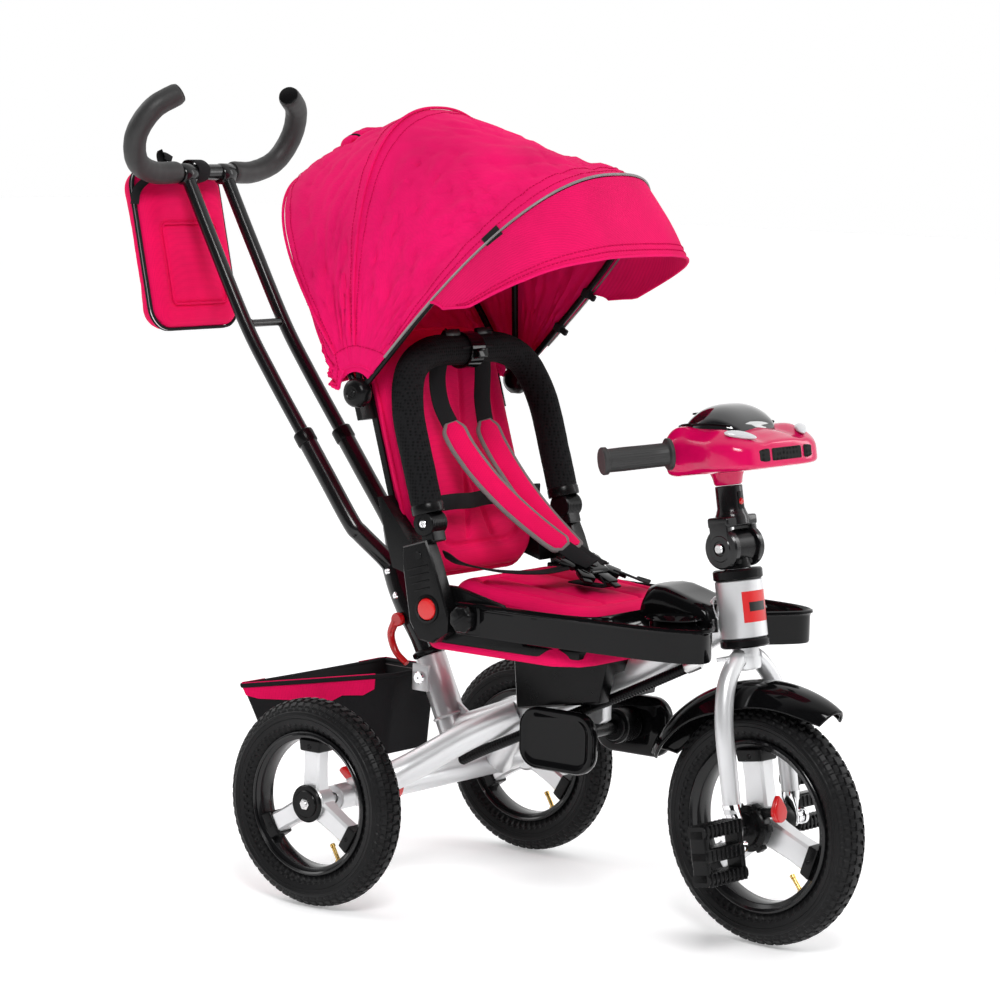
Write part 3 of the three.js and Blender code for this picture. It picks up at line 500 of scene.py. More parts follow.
def side_view(x):
    """Places an outline of [y, z] points across X, starting at x and growing towards +X."""
    return Matrix.Translation((x, 0, 0)) @ Matrix(((0, 0, 1, 0), (1, 0, 0, 0), (0, 1, 0, 0), (0, 0, 0, 1)))


def disc(bm, place, radius, thickness, bevel=0.6, segments=32, hollow=0.0):
    """A turned disc on the place's X axis, from 0 to its thickness, with a hole if hollow."""
    lathe(bm, [(hollow, 0), (radius - bevel, 0), (radius, bevel), (radius, thickness - bevel),
               (radius - bevel, thickness), (hollow, thickness)], segments, place)


def bolt(bm, place, radius=5.0, height=3.5):
    """A screw head with a recessed cross, standing on the place's X axis."""
    disc(bm, place, radius, height, 1.2, 24)
    for angle in (0, 90):
        block(bm, (0.8, radius * 1.3, radius * 0.32), place @ moved(height + 0.1, turned=angle), 0.2, 1)


def hex_nut(bm, place, radius, height):
    outline = [(radius * math.cos(math.pi * k / 3), radius * math.sin(math.pi * k / 3)) for k in range(6)]
    extrude(bm, outline, place @ side_view(0), height, 0.7)
    disc(bm, place @ moved(height - 0.2), radius * 0.55, 2.2, 0.6, 20)


def facing(direction, at):
    """A placing matrix at a point whose X axis looks along the direction."""
    return Matrix.Translation(at) @ Vector(direction).to_track_quat("X", "Z").to_matrix().to_4x4()


def refined(node, body, material, bevel):
    """A copy of a CAD solid with its edges rounded and its flat faces whole."""
    bm = bmesh.new()
    bm.from_mesh(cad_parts[node].data)
    bmesh.ops.remove_doubles(bm, verts=bm.verts, dist=1e-6)
    bmesh.ops.dissolve_limit(bm, angle_limit=math.radians(2), verts=bm.verts, edges=bm.edges)
    bmesh.ops.recalc_face_normals(bm, faces=bm.faces)
    soften(bm, bevel / 1000, 3, 40)
    return own(as_object(f"{node}_shape", bm, 35), body, material, node)


# ------------------------------------------------------------------ wheels
ROWS = (0, 5.6, 12.6, 18.4, 21.6)  # the edges of the tread's rows, out from its middle
TREAD_BLOCKS = 66


def tyre_radius(r, x, angle):
    """The tread: four rows of small blocks on each side, each row shifted along from the last."""
    x = abs(x)
    if x > ROWS[-1]:
        return r
    row = sum(x > edge for edge in ROWS[1:])
    phase = (angle * TREAD_BLOCKS / (2 * math.pi) + 0.37 * row) % 1
    if phase < 0.3 or min(abs(x - edge) for edge in ROWS[1:]) < 0.75:
        return r - 2.3
    return r


def make_tyre(name, place, body, radius, node):
    w = 23.3
    crown = lambda x: radius - 0.2 - 13.2 * (x / 21.6) ** 2.6
    stations = [0, 2.8]
    for edge in ROWS[1:]:
        stations += [edge - 0.95, edge - 0.7, edge + 0.7, edge + 0.95]
    stations = sorted(stations[:-2] + [9.0, 15.6])
    half = [(crown(x), x) for x in stations]
    for depth, x in ((15.5, w - 1.0), (18, w), (18.8, w - 0.5), (19.6, w), (23, w - 0.7), (23.6, w - 1.3),
                     (24.2, w - 0.8), (27.5, w - 2.0), (29.5, w - 3.2), (30.1, w - 4.2), (30.8, w - 3.9),
                     (33, w - 6.2), (35.5, w - 8.4), (37.6, w - 10)):
        half.append((radius - depth, x))
    profile = [(r, -x) for r, x in reversed(half[1:])] + half
    bm = bmesh.new()
    lathe(bm, profile, 396, radius_at=tyre_radius)
    own(finish_mesh(name, bm, place, 32), body, "rubber", node)


def make_rim(name, place, body, radius, near, node):
    seat = radius - 38.5
    far = seat - 5
    profile = [(seat, 11), (seat - 0.6, 15.5), (seat - 2.4, 17.8), (seat - 4.6, 18.3), (far - 1.5, 16.5),
               (near + 5.5, 14.5), (near + 1.2, 13.2), (near, 11.5), (near - 0.2, 0)]
    profile += [(r, -x) for r, x in reversed(profile[:-1])]
    bm = bmesh.new()
    lathe(bm, profile, 120)
    own(finish_mesh(name, bm, place, 40), body, "rim", node)
    # The valve points at the hub.
    bm = bmesh.new()
    spot = turn(150, "X")
    for z, size, long, bevel, sides in ((1, 4.6, 4, 0.8, 20), (-3, 2.6, 16, 0.4, 16), (-19, 3.3, 5, 0.6, 12)):
        disc(bm, spot @ moved(0, 0, near + z) @ turn(90, "Y"), size, long, bevel, sides)
    own(finish_mesh(f"{name}_valve", bm, place), body, "brass")


def arm_section(width, depth, bevel):
    a, b = depth / 2, width / 2
    return [(a - bevel, -b), (a, -b + bevel), (a, b - bevel), (a - bevel, b), (-a + bevel, b),
            (-a, b - bevel),
            (-a, -b + bevel), (-a + bevel, -b)]


def make_spokes(name, place, body, bore, core, arm, node, side):
    """Three box-section arms with dished faces, held in black sockets at the rim."""
    width, depth = arm
    bm = bmesh.new()
    sockets = bmesh.new()
    for angle in (0, 120, 240):
        spot = turn(angle, "X")
        rows = []
        for z, grow in ((core * 0.6, 1.12), (core + 4, 1.02), (bore * 0.6, 0.96), (bore - 4, 1.04)):
            rows.append([spot @ Vector((a * grow, b * grow, z)) for a, b in arm_section(width, depth, 3)])
        from_grid(bm, rows, closed_columns=True, caps=True)
        block(sockets, (depth + 5, width + 6, 15), spot @ moved(0, 0, bore - 8), 2.5, 3, 1.08)
        bolt(sockets, spot @ moved(side * (depth / 2 + 2.2), 0, bore - 9, 180 if side < 0 else 0, "Z"), 3, 2)
    disc(bm, moved(-14), core, 28, 3, 48)
    own(finish_mesh(name, bm, place, 30), body, "silver", node)
    own(finish_mesh(f"{name}_sockets", sockets, place, 35), body, "satin")


def make_rear_wheels():
    for side, name in SIDES:
        body = f"{name}_rear_wheel"
        place = shifted(WORLD, side * HALF_TRACK, WHEELBASE, REAR_RADIUS)
        make_tyre(f"rear_{name}_tyre", place, body, REAR_RADIUS, f"rear_tyre_{name}")
        make_rim(f"rear_{name}_rim", place, body, REAR_RADIUS, 80, f"rear_rim_{name}")
        make_spokes(f"rear_{name}_spokes", place, body, 80, 22, (25, 22), f"rear_hub_{name}", side)
        bm = bmesh.new()
        outer = outward(side, 13.5)
        disc(bm, outer, 23.5, 5, 2, 56, hollow=7.5)
        disc(bm, outer @ moved(4.6), 17, 2.6, 1.4, 48, hollow=7.5)
        own(finish_mesh(f"rear_{name}_hubcap", bm, place), body, "satin")
    bm = bmesh.new()
    lathe(bm, [(0, -HALF_TRACK - 16), (5.9, -HALF_TRACK - 16), (5.9, HALF_TRACK + 16), (0, HALF_TRACK + 16)],
          24)
    for side in (-1, 1):
        out = outward(side, HALF_TRACK + 15.4)
        disc(bm, out, 9.4, 1.4, 0.4, 32)
        hex_nut(bm, out @ moved(1.2), 7.4, 5.2)
    own(finish_mesh("rear_shaft", bm, shifted(WORLD, 0, WHEELBASE, REAR_RADIUS), 30), "chassis", "zinc",
        "rear_axle")


def make_front_wheel():
    body = "front_wheel"
    make_tyre("front_tyre_cover", STEER, body, FRONT_RADIUS, "front_tyre")
    make_rim("front_wheel_rim", STEER, body, FRONT_RADIUS, 93, "front_rim")
    make_spokes("front_wheel_spokes", STEER, body, 93, 22, (32, 24), "front_spokes", -1)
    bm = bmesh.new()
    # The free-wheel housing: a stepped drum with lugs round it.
    lathe(bm, [(7.6, -13.6), (23, -13.6), (24, -15), (24, -20), (27.6, -21), (28, -22.5), (28, -31),
               (26.5, -33),
               (21, -34), (20, -39.6), (12, -40), (7.6, -40)], 64)
    for k in range(6):
        spot = turn(60 * k + 30, "X")
        block(bm, (11, 10, 7), spot @ moved(-26.5, 0, 28), 1.4, 2)
        bolt(bm, spot @ moved(-33, 0, 23.5, 180, "Z"), 2.4, 1.6)
    block(bm, (14, 18, 12), moved(-24, -31, 19), 1.8, 2)
    lathe(bm, [(7.6, 14.2), (21, 14.2), (22.5, 17), (22.5, 33), (19, 37), (12, 39.5), (7.6, 39.5)], 48)
    own(finish_mesh("free_wheel_housing", bm, STEER, 35), body, "satin", "front_hub")
    bm = bmesh.new()
    drop = [(-9, -4), (-5, -7), (0, -8), (5, -7), (9, -4), (12, 3), (11, 9), (6, 18), (0, 25),
            (-6, 18), (-11, 9), (-12, 3)]
    place = STEER @ moved(-24, -45, 14) @ turn(90, "Z")
    extrude(bm, drop, side_view(-3.6), 7.2, 1.8, 3)
    bolt(bm, moved(3.2), 3.4, 1.4)
    own(finish_mesh("clutch_handle", bm, place, 40), "clutch", "red", "clutch_lever")


def make_cranks():
    bm = bmesh.new()
    lathe(bm, [(0, -71), (6.9, -71), (6.9, 71), (0, 71)], 32)
    for side in (-1, 1):
        y, z = side * 23, side * 15
        for by, bz, r in ((0, 0, 9.8), (y, z, 8)):
            disc(bm, moved(side * 71.5 - 4, by, bz), r, 8, 1.4, 32)
        sweep(bm, [(side * 71.5, 0, 0), (side * 71.5, y / 2, z / 2), (side * 71.5, y, z)], 5.6, 16, 3)
        disc(bm, moved(side * 71.5 if side > 0 else -147, y, z), 4.9, 75.5, 0.5, 24)
    own(finish_mesh("crank", bm, STEER, 35), "cranks", "chrome", "crank_axle")
    for side, name in SIDES:
        bm = bmesh.new()
        x0 = side * 115
        for z in (-1, 1):
            # Each tread is a hollow rounded bar with raised ribs.
            section = rounded(27, 14, 5, 3)
            sweep(bm, [(x0 - 35, 0, z * 28), (x0 + 35, 0, z * 28)], 1, section=section, up=Vector((0, 0, 1)),
                  smooth=False)
            for k in range(9):
                block(bm, (3.4, 29, 15.6), moved(x0 - 30 + k * 7.5, 0, z * 28), 1.0, 2)
        block(bm, (70, 26, 17), moved(x0, 0, 0), 4, 3)
        for k in range(7):
            block(bm, (3.2, 28.4, 13), moved(x0 - 24 + k * 8, 0, 0), 1.0, 2)
        for x in (-31, 31):
            block(bm, (8, 24, 66), moved(x0 + x, 0, 0), 3, 3)
        place = shifted(STEER, 0, side * 23, side * 15)
        own(finish_mesh(f"pedal_{name}_body", bm, place, 40), f"{name}_pedal", "satin", f"pedal_{name}")


# ------------------------------------------------------------------ fork, fender, stem
def make_fork():
    bm = bmesh.new()
    for side in (-1, 1):
        sweep(bm, [(side * 55, 0, 22), (side * 55, 0, 70), (side * 54, 0, 125), (side * 44, 0, 168),
                   (side * 26, 0, 193), (side * 10, 0, 205)], lambda t: 11.2 - 0.8 * abs(2 * t - 1) ** 3, 28,
                   8)
    sweep(bm, [(0, 0, 190), (0, 0, 214)], 16, 32, 2)
    lathe(bm, [(0, 0), (9, 0), (16, 2), (17, 6), (17, 16), (0, 16)], 32, moved(0, 0, 186) @ turn(-90, "Y"))
    sweep(bm, [(0, 0, 204), (0, 0, 314)], 13.9, 32, 2)
    # Weld beads where the legs meet the crown.
    for side in (-1, 1):
        ring = [Vector((side * 15, 10.5 * math.cos(a), 201 + 10.5 * math.sin(a)))
                for a in circle(20)]
        sweep(bm, ring, 1.6, 8, 1, closed=True)
    block(bm, (30, 16, 5), moved(-22, 8, 203), 1, 2)
    own(finish_mesh("fork_body", bm, STEER, 40), "steering_fork", "silver", "fork")
    bm = bmesh.new()
    for side in (-1, 1):
        # Flattened plated ends, with a nut over the axle.
        rows = []
        for z, w, d in ((-9, 7, 3.2), (-6, 10, 3.6), (2, 11, 3.8), (12, 11, 4.5), (20, 11.4, 8),
                        (27, 11.6, 11.2),
                        (33, 11.7, 11.7)):
            rows.append([Vector((side * (52.5 if z < 15 else 52.5 + (z - 15) * 0.14) + d * math.cos(a),
                                 w * math.sin(a), z)) for a in circle(24)])
        from_grid(bm, rows, closed_columns=True, caps=True)
        out = outward(side, 56.5)
        disc(bm, out, 9.5, 1.6, 0.4, 32, hollow=7.3)
    own(finish_mesh("fork_tips", bm, STEER, 40), "steering_fork", "chrome")
    bm = bmesh.new()
    disc(bm, moved(0, 0, 214) @ turn(-90, "Y"), 29.6, 10.6, 2, 56)
    own(finish_mesh("fork_ring", bm, STEER, 40), "steering_fork", "satin")


def fender_point(u, v, drop=0.0):
    angle = math.radians(-44 + 103 * u)
    end = abs(2 * u - 1)
    across = 2 * v - 1
    half_width = (36 - 10 * end ** 2) * (1 - 0.25 * end ** 14)
    # The edge turns down and carries a small outward lip.
    reach = 172 + 12 * end ** 2 - 26 * abs(across) ** 3 * (1 - 0.5 * end) - 4 * across ** 2
    return Vector((half_width * across, (reach - drop) * math.sin(angle), (reach - drop) * math.cos(angle)))


def thick_grid(bm, surface, nu, nv, thickness):
    """A closed skin: surface(u, v) outside and the same moved inwards by the thickness."""
    outer = [[surface(i / nu, j / nv) for j in range(nv + 1)] for i in range(nu + 1)]
    inner = []
    for i in range(nu + 1):
        row = []
        for j in range(nv + 1):
            along = outer[min(i + 1, nu)][j] - outer[max(i - 1, 0)][j]
            across = outer[i][min(j + 1, nv)] - outer[i][max(j - 1, 0)]
            normal = along.cross(across)
            if normal.length < 1e-9:
                normal = Vector((0, 0, 1))
            row.append(outer[i][j] - normal.normalized() * thickness)
        inner.append(row)
    from_grid(bm, outer)
    from_grid(bm, inner)
    edge = lambda grid: ([grid[0][j] for j in range(nv)] + [grid[i][nv] for i in range(nu)]
                         + [grid[nu][j] for j in range(nv, 0, -1)] + [grid[i][0] for i in range(nu, 0, -1)])
    from_grid(bm, [edge(outer), edge(inner)], closed_columns=True)


def make_fender():
    bm = bmesh.new()
    thick_grid(bm, fender_point, 56, 24, 2.4)
    rim = [fender_point(i / 40, 0.0) for i in range(41)] + [fender_point(1.0, j / 12) for j in range(1, 13)]
    rim += [fender_point(1 - i / 40, 1.0) for i in range(1, 41)]
    rim += [fender_point(0.0, 1 - j / 12) for j in range(1, 12)]
    sweep(bm, rim, 2.0, 8, 1, closed=True, smooth=False)
    bolt(bm, moved(0, -12, 171) @ turn(-90, "Y"), 5, 3)
    own(finish_mesh("mudguard", bm, STEER, 50), "steering_fork", "gloss", "front_fender")


def make_stem():
    knuckle = 334
    bm = bmesh.new()
    disc(bm, moved(-16.6, 0, knuckle), 20.8, 33.2, 1.5, 56)
    lathe(bm, [(14.5, 0), (16.3, 0), (16.4, 8), (16, 12), (14.5, 12)], 40,
          moved(0, 0, 308.6) @ turn(-90, "Y"))
    block(bm, (29, 29, 16), moved(0, 0, 320), 4, 3)
    own(finish_mesh("knuckle_block", bm, STEER, 35), "steering_fork", "satin", "stem_knuckle")
    bm = bmesh.new()
    for side in (-1, 1):
        out = outward(side, 17.6, 0, knuckle)
        lathe(bm, [(0, 0), (24, 0), (25, 1.2), (25, 7.5), (23, 9.5), (16, 10.2), (15, 11.3), (9, 11.3),
                   (8, 10), (0, 10)],
              56, out)
        for k in range(12):
            spot = out @ turn(30 * k, "X")
            block(bm, (7, 3.4, 2.4), spot @ moved(4.4, 0, 23.4), 0.8, 1)
        block(bm, (10.5, 29, 30), moved(side * 22.8, 0, knuckle + 18), 3, 3)
    block(bm, (56, 33, 13), moved(0, 0, knuckle + 31), 4, 3)
    post = [(12.4, 38), (12.4, 73.6), (15.8, 73.6), (16.5, 73), (16.5, 47), (18.5, 41), (20.5, 36),
            (20.5, 27), (12.4, 27)]
    lathe(bm, post, 56, moved(0, 0, knuckle) @ turn(-90, "Y"))
    own(finish_mesh("stem_post", bm, STEER, 35), "folding_stem", "black_paint", "stem")
    bm = bmesh.new()
    block(bm, (9, 2.2, 22), moved(0, -16.2, knuckle + 55), 1.0, 2)
    own(finish_mesh("stem_slot", bm, STEER, 35), "folding_stem", "satin")
    bm = bmesh.new()
    disc(bm, moved(0, -14.8, 388) @ turn(-90, "Z"), 3.9, 4.4, 1.4, 28)
    own(finish_mesh("stem_push_button", bm, STEER, 40), "stem_lock", "red", "stem_button")
    bm = bmesh.new()
    for side in (-1, 1):
        bolt(bm, outward(side, 28.8, 0, knuckle), 6, 2.6)
    own(finish_mesh("stem_bolts", bm, STEER, 40), "folding_stem", "zinc")


# ------------------------------------------------------------------ canopy
HOOD_AXIS = Vector((0, 511, 635))
HEM, REAR_BOW, MIDDLE_BOW, FRONT_BOW = -82, -36, -2, 44  # degrees forward of upright
HOOD_SPAN = FRONT_BOW - HEM


def bow_point(angle, reach, square, across, half_width=191):
    """A point on a bow that leans at an angle: across runs from 0 at the right to 1."""
    a = math.pi * min(max(across, 0.0), 1.0)
    sine, cosine = max(math.sin(a), 0.0), math.cos(a)
    rise = 26 + (reach - 26) * sine ** square
    side = -math.copysign(abs(cosine) ** square, cosine)
    width = 165 + (half_width - 165) * sine
    tilt = math.radians(angle)
    return Vector((side * width, HOOD_AXIS.y - rise * math.sin(tilt), HOOD_AXIS.z + rise * math.cos(tilt)))


def rear_fall(angle):
    """How far the cloth reaches where it falls steeply behind the rear bow."""
    start = math.radians(36)
    down = math.radians(-angle)
    return 335 * (math.sin(start) - 0.49 * math.cos(start)) / (math.sin(down) - 0.49 * math.cos(down))


def canopy_row(angle):
    """The row of the cloth, from 0 at the rear hem to 1 at the front bow, at an angle."""
    return (angle - HEM) / HOOD_SPAN


def canopy_point(u, v):
    """A point on the cloth without its folds. It dips a little at the rear bow's seam."""
    angle = HEM + HOOD_SPAN * u
    if angle < REAR_BOW:
        reach, square = rear_fall(angle), 0.86
        soft = max(0.0, 1 - (REAR_BOW - angle) / 7)
        reach -= 7 * soft ** 2
    elif angle < MIDDLE_BOW:
        part = (angle - REAR_BOW) / 34
        reach, square = 335 + 15 * part - 34 * part * (1 - part) - 7 * max(0.0, 1 - part * 5) ** 2, 0.86
    else:
        part = (angle - MIDDLE_BOW) / 46
        reach, square = 350 + 34 * part - 118 * part * (1 - part), 0.86 - 0.06 * part
    return bow_point(angle, reach, square, v)


# Each set of folds: its slant in degrees, and the width, length and depth of a fold in mm.
CREASES = ((12, 38, 210, 6.4), (-28, 30, 170, 5.4), (48, 34, 190, 5.0), (-62, 26, 150, 3.6))


def canopy_creases(u, v):
    """Pulled folds that fan from the knobs, deeper near the seams and the hem."""
    across = abs(2 * v - 1)
    angle = HEM + HOOD_SPAN * u
    near_bow = min(abs(angle - bow) for bow in (REAR_BOW, MIDDLE_BOW, FRONT_BOW)) / 20
    hold = min(1.0, near_bow * 2.5) * min(1.0, (1 - across) * 9)
    along, round_bow = angle * 6.0, v * 900
    depth = 3.0 * noise.noise((along / 90, round_bow / 160, 7.7))
    for number, (slant, width, length, deep) in enumerate(CREASES):
        c, s = math.cos(math.radians(slant)), math.sin(math.radians(slant))
        line = noise.noise(((along * c + round_bow * s) / width, (round_bow * c - along * s) / length,
                            5.0 * number))
        patch = max(0.0, noise.noise((along / 130, round_bow / 170, 40.0 + number)) + 0.35)
        depth += 1.3 * deep * patch * max(0.0, 1 - 3.4 * abs(line)) ** 1.4
    return hold * depth


def canopy_skin(u, v, out=0.0):
    """A point on the folded cloth, or out from it along its normal."""
    p = canopy_point(u, v)
    du = canopy_point(min(u + 0.004, 1), v) - canopy_point(max(u - 0.004, 0), v)
    dv = canopy_point(u, min(v + 0.004, 1)) - canopy_point(u, max(v - 0.004, 0))
    normal = du.cross(dv)
    if normal.length < 1e-9:
        return p
    normal.normalize()
    if normal.dot(p - Vector((330 * v - 165, HOOD_AXIS.y, HOOD_AXIS.z))) < 0:
        normal = -normal
    return p + normal * (out - canopy_creases(u, v))


def across_at(k):
    """Spreads points evenly along a bow, whose ends rise steeply."""
    return k + 0.035 * math.sin(2 * math.pi * k)


def bend_with_hood(piece, material, *nodes):
    """Gives a cloth piece its material, bakes its place into its mesh and hides the CAD nodes that it stands
    for.
    """
    piece.data.materials.append(M[material])
    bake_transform(piece)
    if nodes:
        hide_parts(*nodes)
    return piece


def cloth_line(bm, points, radius):
    sweep(bm, points, radius, 8, 1, smooth=False)


def stitches(bm, points, length=3.2, gap=1.6, radius=0.55):
    """A row of thread stitches that lie along the points."""
    path = [Vector(p) for p in points]
    steps = [0.0]
    for a, b in zip(path, path[1:]):
        steps.append(steps[-1] + (b - a).length)

    def at(distance):
        i = min(np.searchsorted(steps, distance, side="right") - 1, len(path) - 2)
        return path[i].lerp(path[i + 1], (distance - steps[i]) / max(steps[i + 1] - steps[i], 1e-6))

    distance = 0.0
    while distance + length < steps[-1]:
        a, b = at(distance), at(distance + length)
        middle = (a + b) / 2
        sweep(bm, [a, middle, b], radius, 5, 1, smooth=False)
        distance += length + gap


def make_canopy():
    bm = bmesh.new()
    thick_grid(bm, lambda u, v: canopy_skin(u, across_at(v)), 84, 132, 1.6)
    sheet = finish_mesh("canopy_cloth", bm, WORLD, 50)
    bend_with_hood(sheet, "pink_canopy", "canopy_back", "canopy_front")
    for name, angle in (("rear", REAR_BOW), ("middle", MIDDLE_BOW)):
        u = canopy_row(angle)
        bm = bmesh.new()
        line = [canopy_skin(u, across_at(k / 110), 0.9) for k in range(2, 109)]
        cloth_line(bm, line, 1.9)
        bend_with_hood(finish_mesh(f"canopy_seam_{name}", bm, WORLD), "pink_canopy")
        bm = bmesh.new()
        for step in (0.022, -0.022):
            stitches(bm, [canopy_skin(u + step, across_at(k / 110), 0.5) for k in range(3, 108)])
        bend_with_hood(finish_mesh(f"canopy_stitches_{name}", bm, WORLD, 0), "thread")
    bm = bmesh.new()
    for u in (0.965, 0.985):
        stitches(bm, [canopy_skin(u, across_at(k / 110), 0.5) for k in range(3, 108)])
    for v in (0.022, 0.978):
        stitches(bm, [canopy_skin(0.02 + 0.96 * k / 60, v, 0.5) for k in range(61)])
    bend_with_hood(finish_mesh("canopy_hem_stitches", bm, WORLD, 0), "thread")
    bm = bmesh.new()
    for v in (0.004, 0.996):
        cloth_line(bm, [canopy_skin(k / 60, v, -0.8) for k in range(61)], 2.2)
    cloth_line(bm, [canopy_skin(0.0, across_at(k / 60), -0.8) for k in range(61)], 2.2)
    bend_with_hood(finish_mesh("canopy_binding", bm, WORLD), "pink_canopy")
    # The reflective piping along the front bow, with a plain tag sewn over it.
    bm = bmesh.new()
    cloth_line(bm, [bow_point(44.2, 385.6, 0.8, across_at(k / 120)) for k in range(2, 119)], 1.7)
    own(finish_mesh("canopy_piping", bm, WORLD), "canopy_hood", "reflective")
    bm = bmesh.new()
    rows = []
    for k in range(7):
        a = 0.205 + 0.030 * k / 6
        rows.append([bow_point(angle, 388.6 - abs(angle - 44.5) * 0.12, 0.8, a)
                     for angle in (42.4, 43.4, 44.6, 45.8)])
    low = [[p - (p - Vector((0, 511, 635))).normalized() * 1.2 for p in row] for row in rows]
    from_grid(bm, rows)
    from_grid(bm, low)
    edge = lambda g: g[0] + [r[-1] for r in g[1:-1]] + g[-1][::-1] + [r[0] for r in g[-2:0:-1]]
    from_grid(bm, [edge(rows), edge(low)], closed_columns=True)
    own(finish_mesh("canopy_label", bm, WORLD), "canopy_hood", "label_black")


def visor_point(u, v):
    across = 0.1 + 0.8 * v
    lift = 12 * (1 - max(math.sin(math.pi * across), 0) ** 0.3)
    a = bow_point(44.6, 384.5, 0.8, across)
    b = bow_point(60 - lift, 358, 0.6, across, half_width=205)
    p = a.lerp(b, u * min(1.0, 0.25 + (1 - abs(2 * v - 1)) * 12) ** 0.5)
    # A soft roll just in front of the piping, then loose ripples towards the edge.
    out = (p - Vector((0, 511, 600))).normalized()
    ripple = 3.6 * noise.noise((v * 9, u * 1.6, 5.0)) + 1.6 * noise.noise((v * 24, u * 3, 1.0))
    return p + out * (3.2 * math.sin(math.pi * u) + ripple * u * (1 - 0.35 * u))


def make_visor():
    bm = bmesh.new()
    thick_grid(bm, visor_point, 30, 110, 2.0)
    sheet = own(finish_mesh("visor_cloth", bm, WORLD, 50), "canopy_hood", "pink_visor", "canopy_visor")
    edge = [visor_point(1.0, j / 110) for j in range(111)]
    ends = [[visor_point(i / 30, v) for i in range(31)] for v in (0.0, 1.0)]
    bm = bmesh.new()
    for line in (edge, *ends):
        cloth_line(bm, line, 1.8)
    own(finish_mesh("visor_binding", bm, WORLD), "canopy_hood", "pink_canopy")
    bm = bmesh.new()
    for u in (0.86, 0.93):
        lift = [visor_point(u, j / 110) for j in range(2, 109)]
        stitches(bm, [p + (p - Vector((0, 511, 600))).normalized() * 0.4 for p in lift], 3.6, 1.8, 0.7)
    own(finish_mesh("visor_stitches", bm, WORLD, 0), "canopy_hood", "thread")


def make_bows():
    for name, angle, body in (("front", FRONT_BOW - 1, "canopy_hood"), ("middle", MIDDLE_BOW, "backrest"),
                              ("rear", REAR_BOW + 1, "backrest")):
        bm = bmesh.new()
        line = [canopy_skin(canopy_row(angle), across_at(k / 60), -9) for k in range(2, 59)]
        ends = [HOOD_AXIS + Vector((side * 158, 0, 0)) for side in (-1, 1)]
        sweep(bm, [ends[0], *line, ends[1]], 4.2, 14, 1, smooth=False)
        own(finish_mesh(f"bow_{name}", bm, WORLD), body, "satin")
    # Two loops of webbing hold the cloth to the front bow, each with a loose tail.
    bm = bmesh.new()
    for a in (0.955, 0.9):
        p = canopy_skin(0.992, a, -9)
        place = Matrix.Translation(p) @ turn(-60, "X")
        block(bm, (11, 11, 11), place @ moved(0, 0, -1), 2.6, 3)
        block(bm, (6, 8, 16), place @ moved(0, 0, -8), 2, 2)
    own(finish_mesh("bow_straps", bm, WORLD), "canopy_hood", "webbing")
    for side, name in SIDES:
        bm = bmesh.new()
        out = outward(side, 161, HOOD_AXIS.y, HOOD_AXIS.z)

        def grip(r, x, angle):
            return r * (1 - 0.05 * (0.5 + 0.5 * math.cos(angle * 9))) if r > 15 and -6 < x < 6 else r

        lathe(bm, [(0, -12.8), (10, -12.8), (11, -12), (17, -7), (18.6, -4), (19, 0), (18.8, 3), (17, 7.5),
                   (14, 11), (9, 12), (8, 11), (0, 11)], 90, out, grip)
        bolt(bm, out @ moved(10.4), 5, 2)
        own(finish_mesh(f"canopy_clamp_{name}", bm, WORLD, 40), f"{name}_canopy_clamp", "satin",
            f"canopy_knob_{name}")


def make_canopy_flap():
    """The rolled-up window cover on top of the canopy, between the rear and middle bows."""
    bm = bmesh.new()
    rows = []
    u = canopy_row(-19)
    for i in range(41):
        v = 0.425 + 0.15 * i / 40
        base = canopy_skin(u - 0.02, v, 1.0)
        ahead = canopy_skin(u + 0.05, v, 1.0)
        along = (base - ahead).normalized()
        out = (base - Vector((0, 540, 600))).normalized()
        swell = 1 + 0.22 * noise.noise((i * 0.22, 0, 0))
        tip = 0.42 + 0.58 * math.sin(math.pi * (i / 40)) ** 0.45
        ring = []
        for k in range(18):
            a = 2 * math.pi * k / 18
            ring.append(base + along * (17 * tip * math.cos(a))
                        + out * (8.0 * swell * tip * (1 + math.sin(a)) - 1))
        rows.append(ring)
    from_grid(bm, rows, closed_columns=True, caps=True)
    bend_with_hood(finish_mesh("canopy_flap", bm, WORLD), "pink_canopy")
    bm = bmesh.new()
    for i in (6, 34):
        ring = [p + (p - sum(rows[i], Vector()) / 18).normalized() * 1.2 for p in rows[i]]
        sweep(bm, ring, 1.4, 8, 1, closed=True, smooth=False)
    bend_with_hood(finish_mesh("canopy_flap_ties", bm, WORLD), "webbing")


# ------------------------------------------------------------------ soft pads
def pad_mesh(width, length, height, corner):
    """A flat pad with a round edge, lying in X and Y about zero."""
    rows = []
    for side in (-1, 1):
        for k in range(8):
            a = math.pi / 2 * k / 7
            inset = height / 2 * (1 - math.sin(a) if side < 0 else 1 - math.cos(a))
            z = side * height / 2 * (math.cos(a) if side < 0 else math.sin(a))
            outline = rounded(width - 2 * inset, length - 2 * inset, max(corner - inset, 2), 8)
            rows.append([Vector((x, y, z)) for x, y in outline])
    bm = bmesh.new()
    from_grid(bm, rows, closed_columns=True, caps=True)
    return bm


def quilt(piece, matrix, seams, depth=3.4):
    """Sinks a stitched groove along the seams and lets the panels between them swell."""
    inverse = matrix.inverted()
    shifts = []
    for v in piece.data.vertices:
        local = inverse @ v.co
        gap = min(seam(local) for seam in seams)
        ruck = 1 + 0.35 * noise.noise(local * 0.09)
        push = 1.6 * (1 - math.exp(-(gap / 16) ** 2)) - depth * ruck * math.exp(-(gap / 3.4) ** 2)
        shifts.append(v.normal * (push / 1000) if gap < 60 else Vector())
    for v, shift in zip(piece.data.vertices, shifts):
        v.co += shift
    piece.data.update()


